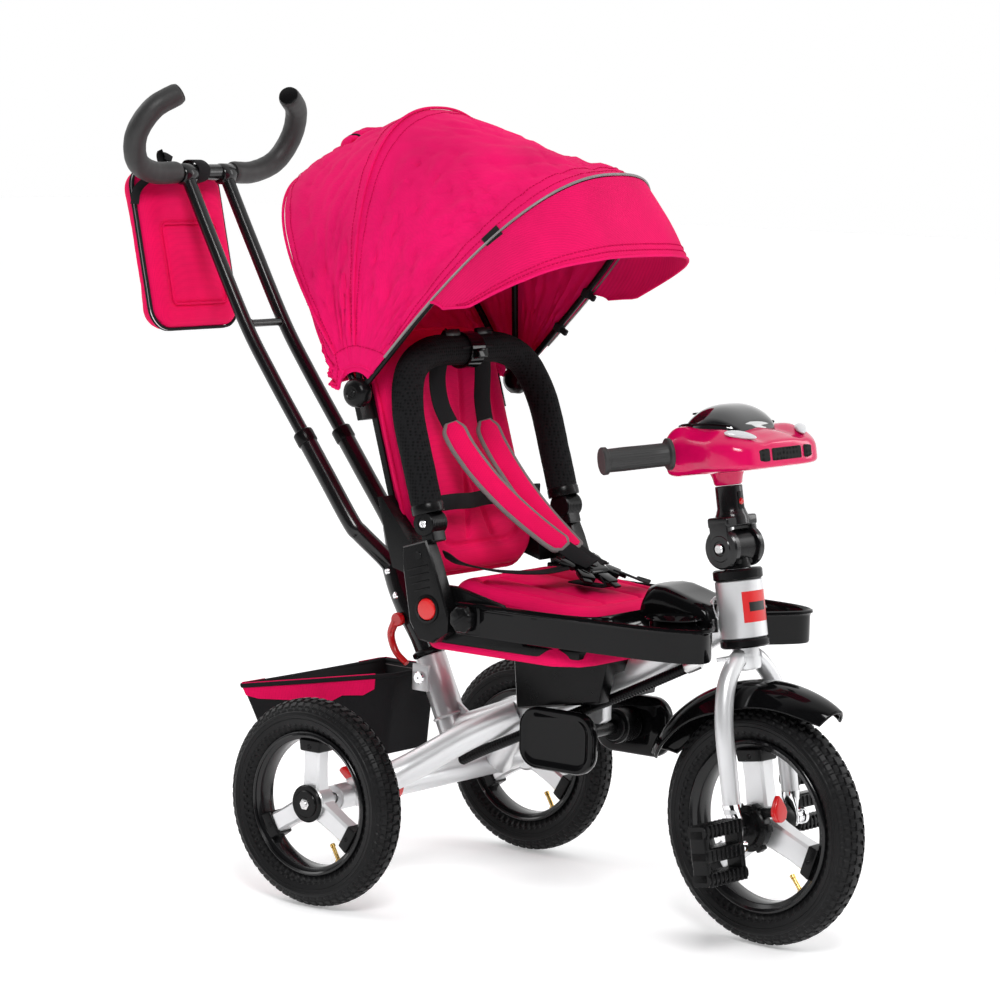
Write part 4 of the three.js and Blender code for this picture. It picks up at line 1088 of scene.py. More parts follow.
def stuffed(name, bm, matrix, voxel, pressure, reach, seams, quilting):
    """Remeshes a pad, holds it along its seams, blows it up like a stuffed cover and quilts it.

    A seam is a function that gives a point's distance from it in mm. No point of the cover
    moves further than reach while it is blown up.
    """
    piece = finish_mesh(name, bm, matrix, 0)
    modifier = piece.modifiers.new("remesh", "REMESH")
    modifier.mode = "VOXEL"
    modifier.voxel_size = voxel
    apply_all(piece)
    inverse = matrix.inverted()
    start = np.array([v.co for v in piece.data.vertices])
    group = piece.vertex_groups.new(name="held")
    for v in piece.data.vertices:
        local = inverse @ v.co
        hold = max(min(1.0, max(0.0, 1.6 - seam(local) / 3)) for seam in seams)
        if hold:
            group.add([v.index], hold, "REPLACE")
    cloth_modifier = piece.modifiers.new("cloth", "CLOTH")
    settings = cloth_modifier.settings
    settings.quality = 6
    settings.mass = 0.25
    settings.tension_stiffness = settings.compression_stiffness = settings.shear_stiffness = 14
    settings.bending_stiffness = 0.6
    settings.use_pressure = True
    settings.uniform_pressure_force = pressure
    settings.vertex_group_mass = "held"
    settings.pin_stiffness = 1.0
    settings.effector_weights.gravity = 0
    for number in range(1, 19):
        scene.frame_set(number)
    apply_all(piece)
    scene.frame_set(1)
    end = np.array([v.co for v in piece.data.vertices])
    shift = end - start
    size = np.linalg.norm(shift, axis=1, keepdims=True)
    end = start + shift * np.minimum(1, reach / 1000 / np.maximum(size, 1e-9))
    piece.data.vertices.foreach_set("co", end.astype(np.float32).ravel())
    piece.data.update()
    modifier = piece.modifiers.new("subdivide", "SUBSURF")
    modifier.levels = modifier.render_levels = 1
    apply_all(piece)
    quilt(piece, matrix, quilting)
    for face in piece.data.polygons:
        face.use_smooth = True
    return piece


def apply_all(piece):
    graph = bpy.context.evaluated_depsgraph_get()
    mesh = bpy.data.meshes.new_from_object(piece.evaluated_get(graph))
    piece.modifiers.clear()
    old = piece.data
    piece.data = mesh
    bpy.data.meshes.remove(old)


def border(width, length, corner):
    """How far a point is from the line of a rounded rectangle in the pad's plane."""

    def distance(p):
        x = abs(p.x) - (width / 2 - corner)
        y = abs(p.y) - (length / 2 - corner)
        outside = math.hypot(max(x, 0), max(y, 0)) + min(max(x, y), 0) - corner
        return abs(outside)

    return distance


def ring_tube(name, place, outline, z, radius, sides, body, material):
    """Piping that runs round a pad, as its own piece."""
    bm = bmesh.new()
    sweep(bm, [(a, b, z) for a, b in outline], radius, sides, 1, closed=True, smooth=False)
    own(finish_mesh(name, bm, place), body, material)


FAR = 99  # a seam's distance where it doesn't run


def waistline(p):
    """The seam round the middle of a pad's edge."""
    return abs(p.z) + (0 if abs(p.z) < 3 else FAR)


def make_seat():
    place = shifted(WORLD, 0, 300, 381) @ turn(5, "X")
    top = lambda p: p.z > 6
    edge = border(178, 170, 34)
    seams = [lambda p: edge(p) if top(p) else FAR, waistline]
    seams += [lambda p, x=x: abs(p.x - x) if top(p) and abs(p.y) < 84 else FAR for x in (-38, 38)]
    cushion = stuffed("seat_pad", pad_mesh(232, 218, 40, 46), place, 0.0048, 5.0, 9, seams,
                      [seams[0], *seams[2:]])
    own(cushion, "chassis", "pink_cloth", "seat_cushion")
    ring_tube("seat_piping", place, rounded(234, 220, 46, 8), 0, 2.6, 10, "chassis", "pink_cloth")
    # The pink cloth sling round the shell, gathered a little under the tray's arms.
    bm = bmesh.new()
    rows = []
    for grow, z in ((1, 348.8), (3.2, 345), (5.5, 338), (6.5, 331), (4, 325.5), (-6, 323.6), (-6, 325.6),
                    (1, 329),
                    (1.6, 334), (0.6, 341)):
        rows.append([Vector((a, 310 + b, z + 1.6 * noise.noise((a * 0.05, b * 0.05, 0))))
                     for a, b in rounded(256 + 2 * grow, 236 + 2 * grow, 44, 14)])
    from_grid(bm, rows, closed_rows=True, closed_columns=True)
    own(finish_mesh("seat_sling", bm, WORLD, 60), "chassis", "pink_cloth")


def make_backrest():
    place = shifted(BACK, 0, 40, 198) @ turn(90, "X")
    front = lambda p: p.z > 8
    edge = border(170, 248, 36)
    middle = lambda p: front(p) and abs(p.x) < 76 and abs(p.y) < 116
    slants = [lambda p, way=way: abs(p.x + way * 0.25 * (p.y + 20)) if middle(p) else FAR for way in (-1, 1)]
    seams = [lambda p: edge(p) if front(p) else FAR, waistline, *slants, lambda p: 0 if p.z < -16 else FAR]
    cushion = stuffed("backrest_pad", pad_mesh(234, 310, 38, 52), place, 0.0048, 5.0, 8, seams,
                      [seams[0], *slants])
    own(cushion, "backrest", "pink_cloth", "backrest_cushion")
    ring_tube("backrest_piping", place, rounded(236, 312, 52, 8), 0, 2.5, 10, "backrest", "pink_cloth")


def strap(bm, points, width, thickness, across=Vector((1, 0, 0)), per_span=8):
    """Flat webbing that follows the points, its width across the given direction."""
    path = smooth_path(points, per_span)
    rows = []
    for i, p in enumerate(path):
        tangent, side = follow(path, i, across)
        up = side.cross(tangent)
        w, t = width / 2, thickness / 2
        outline = ((-w, -t * 0.4), (-w, t * 0.4), (-w + t, t), (0, t * 1.15), (w - t, t), (w, t * 0.4),
                   (w, -t * 0.4), (w - t, -t), (0, -t), (-w + t, -t))
        rows.append([p + side * a + up * b for a, b in outline])
    from_grid(bm, rows, closed_columns=True, caps=True)
    return path


def rest_on_seat(piece, material, *nodes):
    """Gives a harness piece its material, bakes its place into its mesh and hides the CAD nodes that it
    stands for.
    """
    piece.data.materials.append(M[material])
    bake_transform(piece)
    if nodes:
        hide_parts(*nodes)
    return piece


def make_harness():
    routes = {
        "right": ([(-32, 467, 706), (-44, 470, 690), (-56, 470, 655), (-58, 462, 620), (-50, 450, 590)],
                  [(-50, 451, 594), (-49, 432, 566), (-42, 398, 528), (-32, 356, 492), (-22, 316, 464),
                   (-16, 296, 452)]),
        "left": ([(32, 467, 706), (36, 472, 690), (36, 470, 655), (31, 466, 620), (26, 456, 590)],
                 [(26, 457, 592), (26, 438, 562), (24, 402, 522), (20, 360, 486), (14, 318, 458),
                  (9, 300, 448)]),
    }
    for name, (web, pad) in routes.items():
        across = Vector((0.86, -0.5, 0.1)) if name == "right" else Vector((0.86, -0.45, 0.1))
        bm = bmesh.new()
        strap(bm, web, 22, 2.4, across)
        strap(bm, [pad[-1], (pad[-1][0] + 3, pad[-1][1] - 22, pad[-1][2] - 12),
                   (pad[-1][0] + 4, pad[-1][1] - 40, pad[-1][2] - 18)], 25, 2.4, across)
        rest_on_seat(finish_mesh(f"harness_web_{name}", bm, WORLD), "webbing")
        bm = bmesh.new()
        path = strap(bm, pad, 28, 10, across, 10)
        # The pad and its piping narrow to a round end.
        last = len(path) - 1
        ends = [max(0.3, 1 - (1 - min(1.0, min(i, last - i) / 4)) ** 2) ** 0.5 for i in range(last + 1)]
        for v in bm.verts:
            i = min(range(len(path)), key=lambda k: (path[k] - v.co).length)
            side = follow(path, i, across)[1]
            v.co -= side * (v.co - path[i]).dot(side) * (1 - ends[i])
            v.co += Vector((1, 1, 1)) * 0.8 * noise.noise(v.co * 0.05)
        cushion = rest_on_seat(finish_mesh(f"harness_cover_{name}", bm, WORLD, 60), "pink_cloth",
                               f"harness_pad_{name}")
        bm = bmesh.new()
        one, other = ([p + follow(path, i, across)[1] * (edge * 14.2 * ends[i]) for i, p in enumerate(path)]
                      for edge in (-1, 1))
        sweep(bm, one + other[::-1] + one[:2], 3.2, 10, 1, smooth=False)
        rest_on_seat(finish_mesh(f"harness_piping_{name}", bm, WORLD), "grey_piping")
    bm = bmesh.new()
    buckle = Matrix.Translation((0, 268, 428)) @ turn(24, "X")
    block(bm, (46, 40, 12), buckle, 4, 3, 0.85)
    disc(bm, buckle @ moved(0, 0, 5.4) @ turn(-90, "Y"), 9, 2.4, 1, 32)
    for x, y, spin in ((-26, 14, 25), (26, 14, -25), (-28, -16, -30), (28, -16, 30), (0, -30, 0)):
        block(bm, (20, 20, 8), buckle @ moved(x, y, 0, spin, "Z"), 2.6, 2)
        block(bm, (12, 26, 3.4), buckle @ moved(x * 1.2, y * 1.2, 0, spin, "Z"), 1.2, 2)
    rest_on_seat(finish_mesh("harness_clasp", bm, WORLD), "gloss", "harness_buckle")
    # Waist and crotch straps, with their loose ends.
    bm = bmesh.new()
    strap(bm, [(-106, 428, 500), (-80, 420, 502), (-40, 424, 500), (0, 428, 501), (40, 426, 500),
               (80, 420, 502),
               (106, 428, 500)], 20, 2.2, Vector((0, 0, 1)))
    own(finish_mesh("waist_strap", bm, WORLD), "backrest", "webbing")
    bm = bmesh.new()
    for side in (-1, 1):
        strap(bm, [(side * x, y, z) for x, y, z in ((34, 276, 430), (60, 300, 424), (88, 340, 424),
                                                    (104, 384, 430), (110, 410, 440))],
              22, 2.2, Vector((-side * 0.3, 1, 0)))
    strap(bm, [(0, 244, 420), (0, 236, 408), (0, 262, 407), (0, 292, 408)], 24, 2.2)
    strap(bm, [(30, 254, 424), (44, 238, 416), (62, 232, 409), (78, 240, 409)], 18, 2.0,
          Vector((0.3, 1, 0.2)))
    rest_on_seat(finish_mesh("harness_straps", bm, WORLD), "webbing")
    bm = bmesh.new()
    for side in (-1, 1):
        block(bm, (30, 6, 10), Matrix.Translation((side * 32, 468, 706)) @ turn(-17, "X"), 2, 2)
    own(finish_mesh("harness_slots", bm, WORLD), "backrest", "satin")


# ------------------------------------------------------------------ seat shell, brackets, bumper
def make_seat_parts():
    refined("seat_base", "chassis", "satin", 3.0)
    refined("seat_shell", "chassis", "satin", 2.4)
    refined("backrest_frame", "backrest", "satin", 2.2)
    bm = bmesh.new()
    for side in (-1, 1):
        out = BACK @ outward(side, 158.6, 0, 44)
        piece = bmesh.new()
        disc(piece, moved(0, 4, 22), 5, 1.6, 0.5, 24)
        for k in range(4):
            block(piece, (2.2, 34 - 3 * k, 2.6), moved(0, -1, 8 - 9 * k), 0.9, 2)
        merge(bm, piece, out)
    own(finish_mesh("bracket_ribs", bm, Matrix(), 35), "backrest", "satin")
    for side, name in SIDES:
        bm = bmesh.new()
        out = outward(side, 153.8, 0, 0)
        lathe(bm, [(0, 0), (13.4, 0), (13.5, 6), (12.4, 7.6), (10, 8.1), (0, 7.4)], 56, out)
        own(finish_mesh(f"recline_press_{name}", bm, BACK, 35), f"{name}_recline_lock", "red",
            f"recline_button_{name}")
        bm = bmesh.new()
        out = outward(side, 158.4, 0, 0)
        lathe(bm, [(14.3, 0), (18.2, 0), (17.6, 2.2), (15, 2.6), (14.3, 2)], 56, out)
        own(finish_mesh(f"recline_ring_{name}", bm, BACK, 35), "backrest", "satin")


def back_point(y, z):
    """A point beside the upright frame, in the tilted backrest's own Y and Z."""
    c, s = math.cos(math.radians(BACK_TILT)), math.sin(math.radians(BACK_TILT))
    y, z = y - RECLINE_Y, z - RECLINE_Z
    return y * c - z * s, y * s + z * c


def make_bumper():
    y, z = back_point(409, 481)
    place = shifted(BACK, 0, y, z)
    w = 139
    half = [(w, 0, 17), (w, 0, 40), (w, 0, 70), (w - 2, 0, 140), (w - 24, 0, 190), (w - 70, 0, 212)]
    path = [(-x, a, b) for x, a, b in half] + [(0, 0, 212)] + half[::-1]
    bm = bmesh.new()
    sweep(bm, path, lambda t: 19.6 * min(1.0, 0.93 + 0.07 * min(t, 1 - t) * 60), 40, 12)
    for v in bm.verts:
        v.co += (v.co - Vector((0, 0, v.co.z))).normalized() * 0.5 * noise.noise(v.co * 0.06)
    bar = own(finish_mesh("bumper_foam", bm, place, 60), "bumper", "bumper_net", "bumper_bar")
    bm = bmesh.new()
    sweep(bm, [(-30, -19.6, 210.6), (0, -19.9, 212), (30, -19.6, 210.6)], 1.3, 8, 6)
    own(finish_mesh("bumper_seam", bm, place), "bumper", "webbing")
    bm = bmesh.new()
    lathe(bm, [(20.3, -14), (22.4, -14), (23.4, -12.6), (23.4, 12.6), (22.4, 14), (20.3, 14)], 56,
          moved(0, 0, 212))
    block(bm, (20, 12, 12), moved(0, -22, 202), 2.6, 3)
    block(bm, (14, 5, 3), moved(0, -28, 206), 1, 2)
    own(finish_mesh("bumper_clasp", bm, place, 35), "bumper", "gloss", "bumper_clip")
    for side, name in SIDES:
        bm = bmesh.new()
        out = outward(side, w, 0, 0)
        ribs = []
        for k in range(9):
            x = -13 + k * 3.1
            ribs += [(15.4, x), (15.4, x + 1.9), (14.5, x + 2.1), (14.5, x + 2.9)]
        lathe(bm, [(0, -15), (14, -15), (15.2, -14), *ribs, (15.2, 14.6), (14.4, 15.6), (8, 16), (7.4, 15),
                   (0, 15)], 64, out)
        block(bm, (25.6, 19.6, 22), moved(side * w, 0, -13.6), 3, 3)
        own(finish_mesh(f"bumper_hinge_{name}", bm, place, 35), "backrest", "satin", f"bumper_joint_{name}")
        bm = bmesh.new()
        bolt(bm, out @ moved(14.6), 5.2, 2.6)
        own(finish_mesh(f"bumper_screw_{name}", bm, place, 35), "backrest", "chrome")
        bm = bmesh.new()
        lathe(bm, [(0, 12), (19.9, 12), (20.4, 14), (20.4, 22), (19.6, 24), (0, 24)], 48,
              moved(side * w) @ turn(-90, "Y"))
        own(finish_mesh(f"bumper_cuff_{name}", bm, place, 35), "bumper", "satin")


# ------------------------------------------------------------------ toy-car console and grips
def make_console():
    rows = []
    stations = ((-94, 24, 430, 450), (-93, 46, 426, 454), (-90, 60, 425, 457), (-82, 71, 424, 461),
                (-72, 78, 424, 466), (-60, 81, 424, 470), (-44, 82, 424, 474), (-26, 80, 424, 478),
                (-8, 79, 424, 481), (10, 81, 424, 483), (24, 78, 424, 482), (33, 70, 425, 478),
                (38, 55, 429, 467), (40, 40, 433, 460), (40.5, 20, 438, 454))
    smooth = smooth_path([(s[1], s[2], s[3]) for s in stations], 4)
    ys = smooth_path([(s[0], 0, 0) for s in stations], 4)
    for (w, low, high), (y, _, _) in zip(smooth, ys):
        ring = []
        middle = low + (high - low) * 0.42
        for k in range(72):
            a = 2 * math.pi * k / 72
            c, s = math.cos(a), math.sin(a)
            x = w * math.copysign(abs(c) ** (0.5 if s > 0 else 0.3), c)
            z = (middle + (high - middle if s > 0 else middle - low)
                 * math.copysign(abs(s) ** (0.6 if s > 0 else 0.3), s))
            if s > 0.05:
                arch = math.exp(-((abs(x) - 62) / 13) ** 2)
                z += arch * (5.0 * math.exp(-((y + 52) / 20) ** 2) + 4.0 * math.exp(-((y - 18) / 16) ** 2))
                z -= 4.5 * math.exp(-((abs(x) - 34) / 9) ** 2) * math.exp(-((y + 62) / 26) ** 2)
                z += 2.0 * math.exp(-(x / 12) ** 2) * math.exp(-((y + 62) / 22) ** 2)
            elif -0.75 < s < -0.05:
                x -= math.copysign(3.0 * math.exp(-((y + 6) / 26) ** 2), x)
            ring.append((x, y, z))
        rows.append(ring)
    bm = bmesh.new()
    from_grid(bm, rows, closed_columns=True, caps=True)
    lathe(bm, [(0, 408.4), (15, 408.4), (17, 410), (18.5, 418), (22, 427), (0, 427)], 40, turn(-90, "Y"))
    own(finish_mesh("console_shell", bm, STEER, 50), "handlebar", "pink_plastic", "console_body")
    bm = bmesh.new()
    rows = []
    for i in range(21):
        t = i / 20
        y = -54 + 90 * t
        rise = math.sin(math.pi * min(1, t * 0.94 + 0.03)) ** 0.62
        w, h = 30 + 24 * math.sin(math.pi * t) ** 0.6, 36 * rise
        rows.append([(w * math.copysign(abs(math.cos(a)) ** 0.8, math.cos(a)), y,
                      469.5 + h * math.sin(a) ** 0.7)
                     for a in np.linspace(0, math.pi, 33)] + [(0, y, 468)])
    from_grid(bm, rows, closed_columns=True, caps=True)
    own(finish_mesh("console_glass", bm, STEER, 50), "handlebar", "window", "console_window")
    bm = bmesh.new()
    # Roof pillars, the seam round the bonnet and the vents behind the glass.
    for side in (-1, 1):
        sweep(bm, [(side * 40, -46, 478), (side * 49, -26, 482), (side * 52, -4, 484), (side * 50, 16, 485),
                   (side * 40, 32, 484)], 1.6, 8, 6)
    for k in range(3):
        block(bm, (46 - 4 * k, 2.2, 2), moved(0, 24 + 3.6 * k, 497 - 5.6 * k, -50), 0.7, 2)
    block(bm, (94, 5, 7), moved(0, 39.5, 451), 2, 2)
    own(finish_mesh("console_trim", bm, STEER, 40), "handlebar", "gloss")
    bm = bmesh.new()
    for x, w in ((0, 54), (-45, 27), (45, 27)):
        spin = 0 if x == 0 else math.copysign(16, x)
        block(bm, (w, 7, 15), moved(x, -92 if x == 0 else -90, 440, spin, "Z"), 2.8, 3)
    own(finish_mesh("console_grilles", bm, STEER, 40), "handlebar", "grille")
    bm = bmesh.new()
    for side in (-1, 1):
        piece = bmesh.new()
        bmesh.ops.create_uvsphere(piece, u_segments=32, v_segments=16, radius=1)
        for v in piece.verts:
            v.co = Vector((v.co.x * 19 * (1 - 0.3 * v.co.y), v.co.y * 7.5, v.co.z * 4.2))
        spot = moved(side * 56, -73, 467) @ turn(side * 38, "Z")
        merge(bm, piece, spot @ turn(-side * 14, "Y") @ turn(22, "X"))
    own(finish_mesh("console_lamps", bm, STEER, 0), "handlebar", "lamp")
    for side, name in SIDES:
        bm = bmesh.new()
        out = Vector((side * math.cos(math.radians(30)), math.sin(math.radians(30)), 0))
        at = facing(out, (side * 92, 4, 453))

        def ribs(r, x, angle):
            return r - 0.45 * (1 if (angle * 24 / math.pi) % 2 < 0.55 else 0) if 8 < x < 78 else r

        lathe(bm, [(0, 1), (17.6, 1), (19, 2), (19, 5.4), (17.5, 6.4), (14.6, 6.8), (13.8, 8), (13.9, 30),
                   (14.2, 60),
                   (13.9, 78), (14.4, 80), (16.3, 81), (16.5, 85.6), (15.4, 87), (0, 87)], 144, at, ribs)
        own(finish_mesh(f"grip_{name}", bm, STEER, 35), "handlebar", "foam", f"handlebar_grip_{name}")


# ------------------------------------------------------------------ frame
def weld(bm, centre, radius, direction, thick=1.7):
    """A lumpy weld bead round a tube."""
    place = facing(direction, centre)
    ring = []
    for k in range(56):
        a = 2 * math.pi * k / 56
        r = radius + 0.5 * math.sin(a * 28)
        ring.append(place @ Vector((0.7 * math.sin(a * 28), r * math.cos(a), r * math.sin(a))))
    sweep(bm, ring, thick, 8, 1, closed=True, smooth=False)


SPINE = [(0, 60, 388), (0, 187, 311), (0, 266, 275), (0, 369, 232), (0, 472, 192)]
LEAN = math.radians(RAKE)


def head_point(s):
    return Vector((0, s * math.sin(LEAN), FRONT_RADIUS + s * math.cos(LEAN)))


def make_frame():
    bm = bmesh.new()
    head = facing(head_point(1) - head_point(0), head_point(0))
    lathe(bm, [(18.5, 225.4), (27, 225.4), (28.5, 226.4), (28.5, 293.6), (27, 294.8), (18.5, 294.8)], 72,
          head)
    tall = [(math.cos(math.pi * k / 20), 1.24 * math.sin(math.pi * k / 20)) for k in range(40)]
    sweep(bm, SPINE, 18, per_span=12, section=tall)
    for side in (-1, 1):
        sweep(bm, [(side * 8, 366, 232), (side * 45, 412, 206), (side * 100, 474, 158),
                   (side * 152, 517, 131)],
              18.4, 32, 10)
    lathe(bm, [(7, -185.6), (15, -185.6), (16, -184.5), (16, 184.5), (15, 185.6), (7, 185.6)], 40,
          moved(0, WHEELBASE, REAR_RADIUS))
    low, high = Vector((0, 466, 180)), Vector((0, 516, 288))
    reach = (high - low).length
    lathe(bm, [(0, 0), (20, 0), (20, reach - 2), (19, reach - 0.4), (16.8, reach - 0.4), (16.8, reach - 12),
               (0, reach - 12)], 48, facing(high - low, low))
    extrude(bm, [(436, 212), (488, 214), (494, 252)], side_view(-3), 6, 1)
    extrude(bm, [(235, 292), (272, 276), (272, 238), (266, 236), (241, 236), (235, 240)], side_view(-9.8),
            19.6, 2)
    # Ears bolted to the socket, and weld beads where the tubes meet.
    block(bm, (6, 26, 34), moved(-20, 514, 262), 1.2, 2)
    weld(bm, head_point(252) + Vector((0, 27, 2)), 18.8, (0, 1, -0.6))
    weld(bm, head_point(252) + Vector((0, 30, -1)), 18.6, (0, 1, -0.6))
    for side in (-1, 1):
        weld(bm, (side * 18, 381, 224), 17.2, (side * 37, 46, -24), 1.5)
        weld(bm, (side * 141, 508, 138), 17.2, (side * 50, 43, -26), 1.8)
    weld(bm, (0, 482, 214), 20.4, high - low, 1.9)
    own(finish_mesh("frame_tubes", bm, WORLD, 40), "chassis", "silver", "main_frame")
    bm = bmesh.new()
    lathe(bm, [(15.7, 295.5), (28.4, 295.5), (29.9, 297), (29.9, 306), (28, 307.9), (15.7, 307.9)], 64, head)
    own(finish_mesh("head_collar", bm, WORLD, 35), "chassis", "satin", "head_ring")
    bm = bmesh.new()
    bolt(bm, moved(-22.8, 514, 262, 180, "Z"), 8, 4.5)
    bolt(bm, moved(-10.2, 254, 262, 180, "Z"), 6, 3.5)
    own(finish_mesh("frame_bolts", bm, WORLD, 35), "chassis", "chrome")
    # A plain sticker with a black band, wrapped round the front of the head tube.
    turned_head = Matrix.Translation((0, 0, FRONT_RADIUS)) @ turn(-RAKE, "X")
    for name, radius, start, span, steps, heights, material in (
            ("head_sticker", 28.75, -52, 88, 12, (244, 262, 281), "label"),
            ("head_sticker_band", 28.95, -36, 50, 8, (257, 268), "label_black")):
        angles = [math.radians(start + span * i / steps) for i in range(steps + 1)]
        bm = bmesh.new()
        for r in (radius, radius * 0.985):
            from_grid(bm, [[turned_head @ Vector((r * math.sin(a), -r * math.cos(a), z)) for z in heights]
                           for a in angles])
        own(finish_mesh(name, bm, WORLD, 0), "chassis", material)


def make_conduit():
    points = [(-27, 84, 334), (-27, 187, 284), (-27, 292, 236), (-26, 376, 197), (-22, 410, 182),
              (-20, 446, 164)]
    bm = bmesh.new()
    path = smooth_path(points, 16)
    steps = np.cumsum([0] + [(b - a).length for a, b in zip(path, path[1:])])
    count = int(steps[-1] / 1.1)
    even = [Vector([np.interp(steps[-1] * k / count, steps, [p[i] for p in path]) for i in range(3)])
            for k in range(count + 1)]
    frames = path_frames(even)
    rows = []
    for k, (p, (side, up)) in enumerate(zip(even, frames)):
        r = 6.9 if k % 4 < 2 else 5.7
        rows.append([p + side * (r * math.cos(a)) + up * (r * math.sin(a))
                     for a in circle(16)])
    from_grid(bm, rows, closed_columns=True, caps=True)
    own(finish_mesh("conduit", bm, WORLD, 0), "chassis", "satin", "steering_conduit")
    bm = bmesh.new()
    start = Vector(points[1]) - Vector(points[0])
    lathe(bm, [(0, -4), (7.6, -4), (8.4, 0), (8.4, 16), (7.4, 18), (0, 18)], 24, facing(start, points[0]))
    own(finish_mesh("conduit_end", bm, WORLD, 35), "chassis", "zinc")


# ------------------------------------------------------------------ tray and footrests
def make_tray():
    half = [(152, 356), (150, 300), (149, 240), (146, 165), (143, 100), (136, 52), (122, 24), (104, 20),
            (84, 30),
            (62, 46), (40, 60)]
    inner = [(140, 356), (139, 300), (138, 240), (134, 195), (124, 172), (104, 166), (60, 166), (20, 166)]
    bm = bmesh.new()
    for side in (-1, 1):
        # Each half is a dished deck inside a wall whose top edge rolls outwards.
        outer = [(side * x, y) for x, y in half]
        deck = outer + [(side * x, y) for x, y in reversed(inner)]
        deck = deck if side < 0 else deck[::-1]
        extrude(bm, deck, moved(0, 0, 379), 5, 1.2)
        wall = [(-3.2, -18), (-3.2, 12), (-1.5, 18), (2.5, 20.4), (5, 19.4), (5.4, 16.5), (3, 14.8),
                (2.2, 12), (2.2, -18),
                (1, -20.6), (-1.6, -20.6)]
        sweep(bm, [(x * 0.985, y, 371) for x, y in outer], 1, per_span=6, up=Vector((0, 0, 1)),
              section=wall if side < 0 else [(-a, b) for a, b in wall])
        sweep(bm, [(side * x, y, 372.5) for x, y in inner], 1, per_span=6, up=Vector((0, 0, 1)),
              section=[(-2.4, -16), (-2.4, 15), (0, 17.4), (2.4, 15), (2.4, -16), (0, -18)])
        block(bm, (15, 36, 40), moved(side * 145, 338, 371), 5, 4)
    rows = []
    for y, low, high, w in ((64, 372, 384, 33), (66, 372, 394, 35), (72, 372, 405, 37), (90, 372, 413, 38),
                            (112, 372, 420, 38), (132, 372, 425.5, 38), (146, 372, 426.4, 38),
                            (156, 372, 421, 38),
                            (162, 372, 408, 38), (166, 372, 390, 37), (167, 372, 378, 36)):
        ring = []
        for k in range(40):
            a = 2 * math.pi * k / 40
            c, s = math.cos(a), math.sin(a)
            middle = low + (high - low) * 0.4
            dip = 5 * math.exp(-(c * 1.6) ** 2) if s > 0.2 and 80 < y < 150 else 0
            ring.append((w * math.copysign(abs(c) ** 0.5, c),
                         y, middle + (high - middle if s > 0 else middle - low)
                         * math.copysign(abs(s) ** 0.5, s) - dip))
        rows.append(ring)
    from_grid(bm, rows, closed_columns=True, caps=True)
    own(finish_mesh("tray_shell", bm, WORLD, 45), "chassis", "gloss", "guard_tray")
    bm = bmesh.new()
    for side in (-1, 1):
        lathe(bm, [(0, 357.2), (24, 357.2), (28, 360), (28.6, 390), (29.5, 392.6), (33, 393.2), (34, 392),
                   (33, 391), (29.4, 391)], 56, moved(side * 70, 92, 0) @ turn(-90, "Y"))
    own(finish_mesh("tray_cups", bm, WORLD, 35), "chassis", "gloss")
    for side, name in SIDES:
        bm = bmesh.new()
        out = outward(side, 154.7, 340, 372)

        def lobes(r, x, angle):
            return r * (1 - 0.07 * (0.5 + 0.5 * math.cos(angle * 8))) if r > 14 and x > 1 else r

        lathe(bm, [(0, 0), (15, 0), (16.8, 1.4), (17, 4), (16.8, 8.6), (15, 11), (13, 11.8), (0, 11.8)], 96,
              out, lobes)
        block(bm, (2.4, 21, 4.4), out @ moved(11.2, turned=35), 1, 2)
        own(finish_mesh(f"tray_clamp_{name}", bm, WORLD, 40), f"{name}_tray_clamp", "satin",
            f"tray_knob_{name}")


def make_footrests():
    y, z = 252, 226
    bm = bmesh.new()
    lathe(bm, [(0, -34), (9, -34), (9, 34), (0, 34)], 32, moved(0, y, z))
    for side in (-1, 1):
        out = outward(side, 34, y, z)
        ribs = []
        for k in range(7):
            x = 7 + k * 3.8
            ribs += [(22, x), (22, x + 2.4), (20.8, x + 2.8), (20.8, x + 3.5)]
        lathe(bm, [(0, 0), (17, 0), (18, 1.5), (18, 5), (21.6, 5.6), *ribs, (22, 33.8), (20.4, 35.6),
                   (10, 35.8), (0, 35.8)], 64, out)
    own(finish_mesh("footrest_drums", bm, WORLD, 35), "chassis", "satin", "footrest_bracket")
    for side, name in SIDES:
        bm = bmesh.new()
        rows = []
        for inset, depth in ((14, 13.4), (9, 13.6), (5, 15.6), (1.6, 14.8), (0, 12), (0, 5), (1, 2), (4, 0),
                             (30, 0)):
            ring = rounded(112 - 2 * inset, 76 - 2 * inset, max(26 - inset, 6), 10)
            rows.append([Vector((side * (72 + depth), 250 + a, 224 + b)) for a, b in ring])
        from_grid(bm, rows, closed_columns=True, caps=True)
        block(bm, (8, 22, 26), moved(side * 75, y, z), 3, 3)
        own(finish_mesh(f"footrest_paddle_{name}", bm, WORLD, 40), f"{name}_footrest", "gloss",
            f"footrest_{name}")


# ------------------------------------------------------------------ push handle, bag, basket, brake
def pole_point(x, distance):
    a = math.radians(38)
    return (x, 702 + distance * math.sin(a), 557 + distance * math.cos(a))


